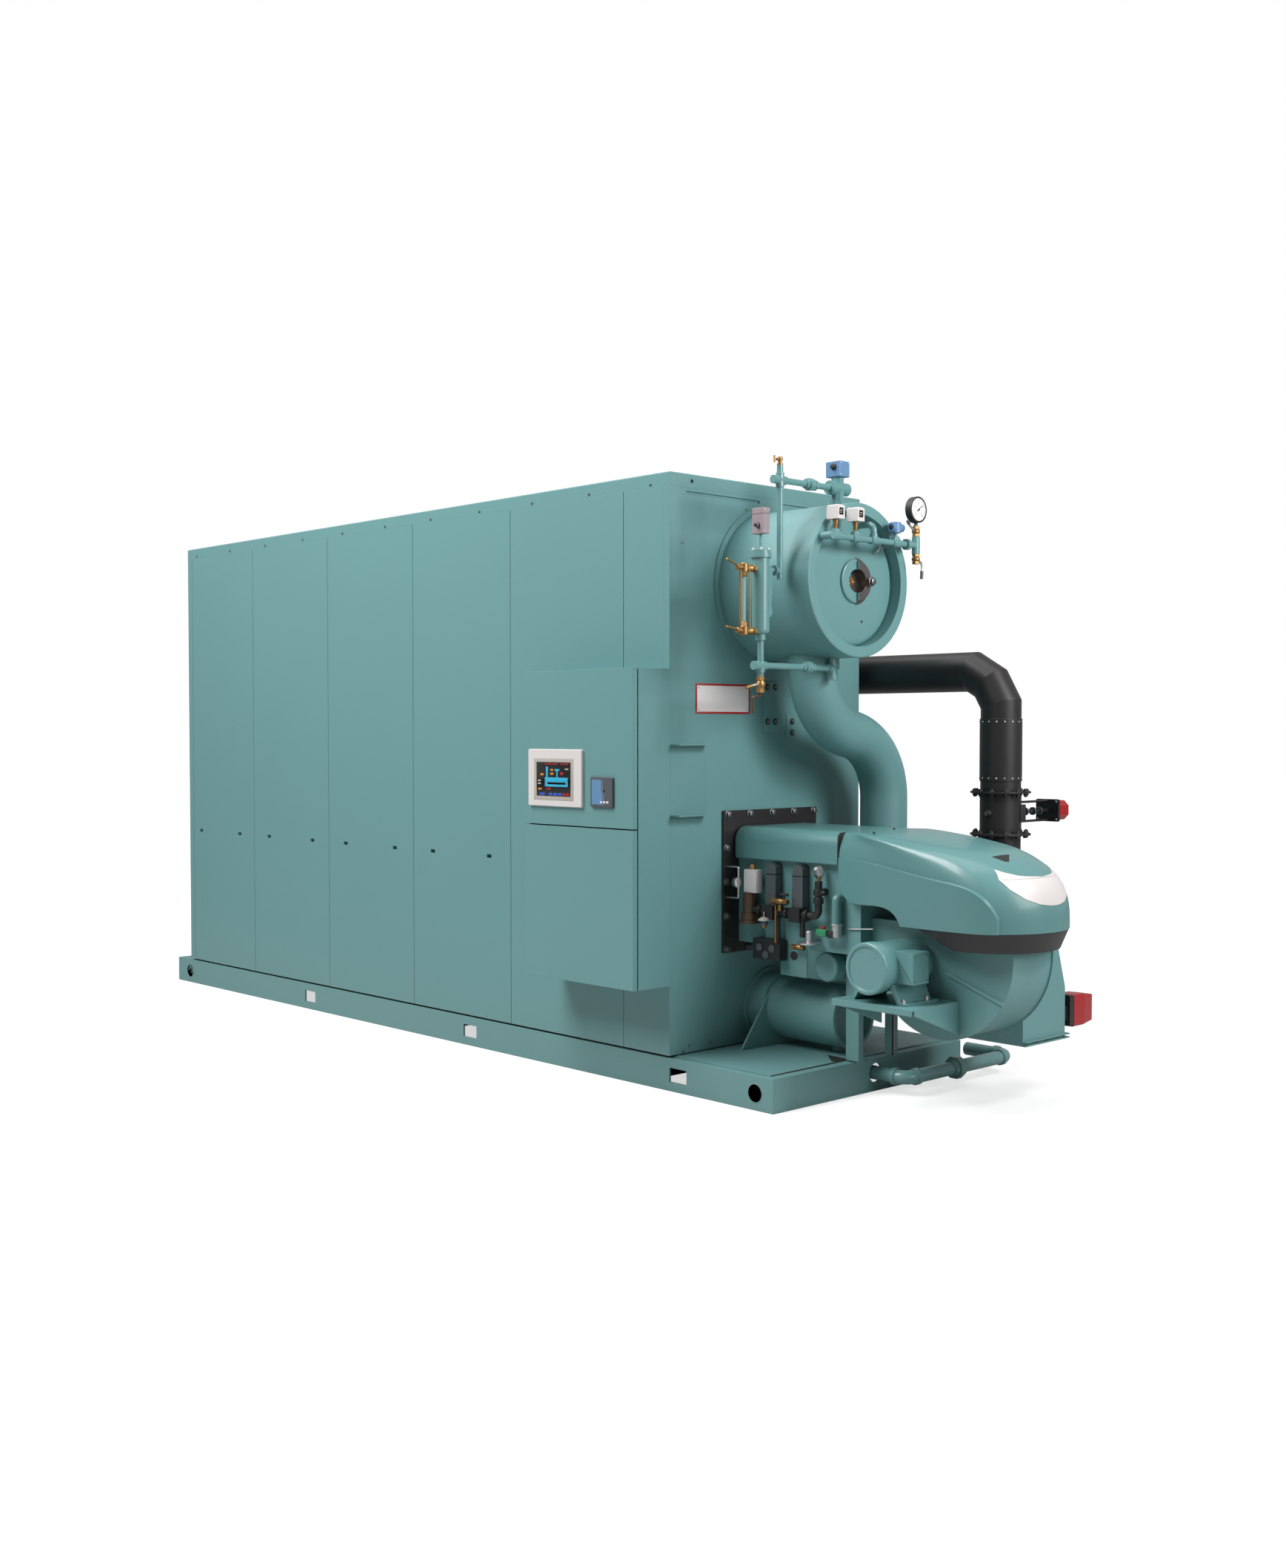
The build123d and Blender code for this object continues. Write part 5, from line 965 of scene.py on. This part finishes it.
def duct_details():
    """Flange bolts, rivets, shaft and coupling of the flue damper."""
    rows = (
        ("damper_lower_bolts", stud_nut, "up", 1096), ("damper_upper_bolts", stud_nut, "down", 1280),
        ("damper_lower_heads", hex_bolt, "down", 1087), ("damper_upper_heads", hex_bolt, "up", 1289),
    )
    for name, kind, facing, z in rows:
        spots = [round_duct(DUCT_BOLT_CIRCLE, 15 + 30 * n, z) for n in range(12)]
        repeats(name, "dial_ink", kind(13), facing, spots)
    rivets = []
    for z in (1348, 1606):
        for n in range(16):
            rivet = turned([(4.5, -1.0), (4.5, 1), (3.0, 2.6)], 8)
            rivet.rotation_euler = (math.radians(90), 0.0, math.radians(22.5 * n + 90))
            rivet.location = [c * MM for c in round_duct(SLEEVE_RADIUS, 22.5 * n, z)]
            rivets.append(rivet)
    piece = join(rivets)
    settle(rotation=True)
    finish(piece, "sleeve_rivets", "steel")
    boss = [(16, 0), (16, 10), (10, 12), (10, 22)]
    lathe("damper_shaft_boss", "dark_steel", "left", (DUCT_X - 92, DUCT_Y, DAMPER_Z), boss, 20)
    low, high = (DUCT_X + 20, DUCT_Y - 96, 1150), (DUCT_X + 62, DUCT_Y - 80, 1228)
    slab("damper_side_plate", "dial_ink", low, high, 1.5)
    disc = turned([(15, 0), (19, 1), (19, 9), (15, 10)])
    places = [(x, DUCT_Y, DAMPER_Z) for x in (935, 977, 1038, 1090)]
    repeats("damper_coupling", "dark_steel", disc, "right", places)
    screws = [(1178.2, DUCT_Y + dy, z) for dy in (-53, 53) for z in (1144, 1232)]
    repeats("damper_drive_screws", "steel", screw(9), "right", screws)
    corners = [(1163.8, DUCT_Y + dy, z) for dy in (-50, 50) for z in (1146, 1230)]
    repeats("damper_drive_back_screws", "steel", screw(11), "left", corners)


# Deck

NOTCH_HALF = 196.5
NOTCH_INNER = 330.5
NOTCH_OUTER = 561.5
PIT_TIP = (-77, 415)


def deck_details():
    """Worn line along the deck's front edge, the loose plate that narrows its notch, and a black sheet
    painted as the shade in the notch's open corner.
    """
    edge = in_front((-600, 562.6, 144.5), (-197, 561.8, 148.2))
    slab("deck_edge_line", "amber_paint", *edge, 0.2)
    corners = [(-NOTCH_HALF, NOTCH_INNER), (-NOTCH_HALF, 546), PIT_TIP, (-84, NOTCH_OUTER),
               (NOTCH_HALF, NOTCH_OUTER), (NOTCH_HALF, NOTCH_INNER)]
    outline = [(x, ahead(distance)) for x, distance in corners]
    finish(stand(cut_plate(outline, 5.6), "up", (0, 0, 143.2)), "deck_infill", "teal_paint")
    # Black sheet under the open corner of the notch: painted shade.
    pit = in_front((-NOTCH_HALF, NOTCH_OUTER, 143.1), (*PIT_TIP, 143.8))
    slab("deck_pit_painted_shade", "seal", *pit, 0.2)


# Cabinet

SCREEN_FACE = -870.5
SCREEN_MIDDLE = (-1419.0, 1349.0)
SCREEN_HALF = (117, 82)
PANEL_FACE = -868.5
PANEL_LOW = (-1807, 1234)
PANEL_HIGH_Y = -1663
# Marks on the screen as (left, top, right, bottom) shares of it
MIMIC = {
    "mark_cyan": [(0.25, 0.45, 0.92, 0.58), (0.25, 0.64, 0.92, 0.7), (0.25, 0.58, 0.33, 0.64),
                  (0.86, 0.58, 0.92, 0.64), (0.28, 0.16, 0.34, 0.45), (0.54, 0.22, 0.68, 0.27),
                  (0.59, 0.27, 0.63, 0.45)],
    "mark_orange": [(0.12, 0.34, 0.21, 0.4), (0.41, 0.22, 0.5, 0.27), (0.41, 0.32, 0.5, 0.38),
                    (0.05, 0.74, 0.15, 0.79)],
    "red_plastic": [(0.24, 0.07, 0.62, 0.1), (0.7, 0.07, 0.94, 0.1), (0.7, 0.3, 0.79, 0.38),
                    (0.3, 0.73, 0.42, 0.78), (0.77, 0.87, 0.85, 0.94), (0.88, 0.87, 0.96, 0.94)],
    "mark_blue": [(0.1, 0.87, 0.24, 0.94), (0.36, 0.87, 0.47, 0.94), (0.5, 0.87, 0.61, 0.94),
                  (0.64, 0.87, 0.74, 0.94)],
    "frame_beige": [(0.04, 0.52, 0.13, 0.56), (0.04, 0.6, 0.13, 0.64), (0.84, 0.2, 0.94, 0.24)],
}


def screen_faces():
    """Operator screen and burner controller, with a plain layout of their own."""
    x = SCREEN_FACE
    door = "upper_door"
    middle_y, middle_z = SCREEN_MIDDLE
    half_y, half_z = SCREEN_HALF
    low, high = (x - 0.8, middle_y - 136, middle_z - 93), (x + 2, middle_y + 136, middle_z + 93)
    slab("screen_frame", "frame_beige", low, high, 0.6, ((-1, 0, 0), 17, 0.7), door)
    low, high = (x - 0.5, middle_y - half_y, middle_z - half_z), (x + 1, middle_y + half_y, middle_z + half_z)
    slab("screen_glass", "screen_black", low, high, 0.2, None, door)
    for colour, spots in MIMIC.items():
        marks = []
        for left, top, right, bottom in spots:
            low = (x - 0.9, middle_y + half_y * (1 - 2 * right), middle_z + half_z * (1 - 2 * bottom))
            high = (x, middle_y + half_y * (1 - 2 * left), middle_z + half_z * (1 - 2 * top))
            marks.append(block(low, high, 0.1))
        finish(marks, f"screen_{colour}", colour, door)
    x = PANEL_FACE
    low_y, low_z = PANEL_LOW
    place = (x, PANEL_HIGH_Y - 12, low_z + 12)
    panel = cut_plate([(0, 0), (74, 0), (60, 108), (0, 108)], 0.8)
    finish(stand(panel, "left", place), "controller_panel", "blue_plastic", door)
    stripe = cut_plate([(78, 0), (82, 0), (68, 108), (64, 108)], 0.9)
    finish(stand(stripe, "left", place), "controller_stripe", "steel", door)
    low, high = (x - 0.6, low_y + 48, 1300), (x + 1, low_y + 98, 1311)
    slab("controller_slot", "screen_black", low, high, 0.2, None, door)
    keys = [block((x - 1.4, low_y + 24 + n * 20, low_z + 18), (x + 1, low_y + 38 + n * 20, low_z + 28), 0.8)
            for n in range(3)]
    finish(keys, "controller_keys", "white_plastic", door)


def cabinet_fittings():
    """Mounting plates, rails, relays and wiring ducts behind the two doors."""
    near, far = -1905.0, -1219.0
    plate_back, plate_front, rail_front = -645.0, -648.0, -656.0
    finishes = ("grey_plastic", "seal", "white_plastic")
    for bay, low, high in (("lower", 478, 1124), ("upper", 1164, 1811)):
        plate = ((plate_front, near, low), (plate_back, far, high))
        slab(f"mounting_plate_{bay}", "cream_paint", *plate, 0.8)
        rails = []
        ducts = []
        modules = {"grey_plastic": [], "white_plastic": [], "seal": []}
        for row in range(3):
            z = low + 130 + row * 195
            rail = ((rail_front, near + 60, z - 17), (plate_front, far - 60, z + 17))
            rails.append(block(*rail, 0.8, ((-1, 0, 0), 5, 5)))
            duct = ((plate_back - 45, near + 20, z + 72), (plate_front, far - 20, z + 112))
            ducts.append(block(*duct, 1.5))
            for n in range(14):
                y = near + 76 + n * 38
                deep = (66, 88, 54)[(n // 3 + row) % 3]
                tall = (42, 36, 48)[(n // 4 + row) % 3]
                module = ((rail_front - deep, y, z - tall), (rail_front, y + 35, z + tall))
                modules[finishes[(n // 5 + row) % 3]].append(block(*module, 2, ((-1, 0, 0), 7, 3)))
        finish(rails, f"device_rails_{bay}", "steel")
        finish(ducts, f"wiring_ducts_{bay}", "switch_grey")
        for finish_name, row_of in modules.items():
            finish(row_of, f"relays_{bay}_{finish_name}", finish_name)


# Rear

def rear_fasteners():
    """Bolts round the rear access door and the glass of its sight port."""
    face = REAR + 46
    spots = [(x, face, z) for x in (-250, 250) for z in (900, 1000, 1100, 1200, 1300, 1400, 1460)]
    spots += [(x, face, z) for x in (-150, -50, 50, 150) for z in (892, 1468)]
    repeats("rear_door_bolts", "dark_steel", hex_bolt(15), "rear", spots)
    lens = [(27, 0), (27, 3), (20, 4)]
    lathe("sight_port_lens", "screen_black", "rear", (0, face + 42, 1180), lens, 32)


casing_fasteners()
sign_plate()
wall_plates()
burner_plate_bolts()
handhole_fittings()
upper_trim()
pressure_gauge_dial()
water_gauge()
gas_fittings()
nose_details()
motor_details()
post_rods()
intake_details()
duct_details()
deck_details()
screen_faces()
cabinet_fittings()
rear_fasteners()


# Floor, light and camera

WHITE = (1.0, 1.0, 1.0, 1.0)
FLOOR_GLOW = 0.66
FLOOR_FADE_FROM = 3.2
FLOOR_FADE_TO = 6.5
WORLD_IN_REFLECTIONS = 0.42
WORLD_AS_LIGHT = 0.15


def build_floor():
    """Wide pale floor that stays white to the camera away from the object's shadow."""
    only()
    bpy.ops.mesh.primitive_plane_add(size=90.0, location=(0.0, 0.0, 0.0))
    floor = bpy.context.object
    floor.name = "floor"
    made, tree, shader = new_material("floor_white")
    feed(tree, shader, {"Base Color": (0.5, 0.5, 0.5, 1.0), "Roughness": 0.9, "Specular IOR Level": 0.1})
    light_path = node(tree, "ShaderNodeLightPath")
    away = node(tree, "ShaderNodeVectorMath", {0: object_place(tree)}, operation="LENGTH")
    span = {"From Min": FLOOR_FADE_FROM, "From Max": FLOOR_FADE_TO, "To Min": FLOOR_GLOW, "To Max": 1.0}
    fade = node(tree, "ShaderNodeMapRange", {"Value": away.outputs["Value"], **span})
    seen = times(tree, light_path.outputs["Is Camera Ray"], fade.outputs["Result"])
    glow = node(tree, "ShaderNodeEmission", {"Color": WHITE, "Strength": seen})
    both = node(tree, "ShaderNodeAddShader", {0: shader.outputs[0], 1: glow.outputs[0]})
    output = next(n for n in tree.nodes if n.type == "OUTPUT_MATERIAL")
    feed(tree, output, {"Surface": both.outputs[0]})
    floor.data.materials.append(made)


def build_world():
    """White surround for the camera and reflections, with a dimmer glow for the light itself."""
    world = bpy.data.worlds.new("studio")
    bpy.context.scene.world = world
    world.use_nodes = True
    tree = world.node_tree
    tree.nodes.clear()
    light_path = node(tree, "ShaderNodeLightPath")
    rays = light_path.outputs
    seen = math_node(tree, "MAXIMUM", rays["Is Camera Ray"], rays["Is Transmission Ray"])
    glossy = times(tree, rays["Is Glossy Ray"], WORLD_IN_REFLECTIONS)
    strength = math_node(tree, "MAXIMUM", math_node(tree, "MAXIMUM", seen, glossy), WORLD_AS_LIGHT)
    back = node(tree, "ShaderNodeBackground", {"Color": WHITE, "Strength": strength})
    node(tree, "ShaderNodeOutputWorld", {"Surface": back.outputs[0]})


def build_light(name, place, aim, size, power):
    data = bpy.data.lights.new(name, "AREA")
    data.shape = "RECTANGLE"
    data.size, data.size_y = size
    data.energy = power
    lamp = placed(name, data)
    lamp.location = place
    lamp.rotation_euler = (Vector(aim) - Vector(place)).to_track_quat("-Z", "Y").to_euler()


PHOTO_WIDTH = 1736
FOCAL_PIXELS = 2240.08
CAMERA_PLACE = (-5.6157, -7.0745, 1.5637)
CAMERA_TURN = 43.089
CAMERA_DIP = 1.8287
SENSOR = 36.0


def build_camera():
    data = bpy.data.cameras.new("photo_camera")
    data.sensor_fit = "HORIZONTAL"
    data.sensor_width = SENSOR
    data.lens = FOCAL_PIXELS * SENSOR / PHOTO_WIDTH
    data.clip_end = 200.0
    camera = placed("photo_camera", data)
    camera.location = CAMERA_PLACE
    camera.rotation_euler = (math.radians(90.0 - CAMERA_DIP), 0.0, math.radians(-CAMERA_TURN))
    bpy.context.scene.camera = camera


build_floor()
build_world()
build_light("key_left", (-5.6, 0.5, 7.8), (-0.4, -0.6, 1.2), (5.0, 5.0), 905.0)
build_light("top_soft", (0.0, -0.5, 7.5), (0.0, 0.0, 1.0), (5.0, 7.0), 210.0)
build_light("front_fill", (1.0, -9.5, 3.6), (0.0, -1.0, 1.3), (4.0, 3.0), 210.0)
build_light("drum_fill", (0.6, -5.6, 3.6), (0.0, -2.4, 2.25), (1.4, 1.0), 88.0)
build_camera()

bpy.context.scene.view_settings.view_transform = "Standard"
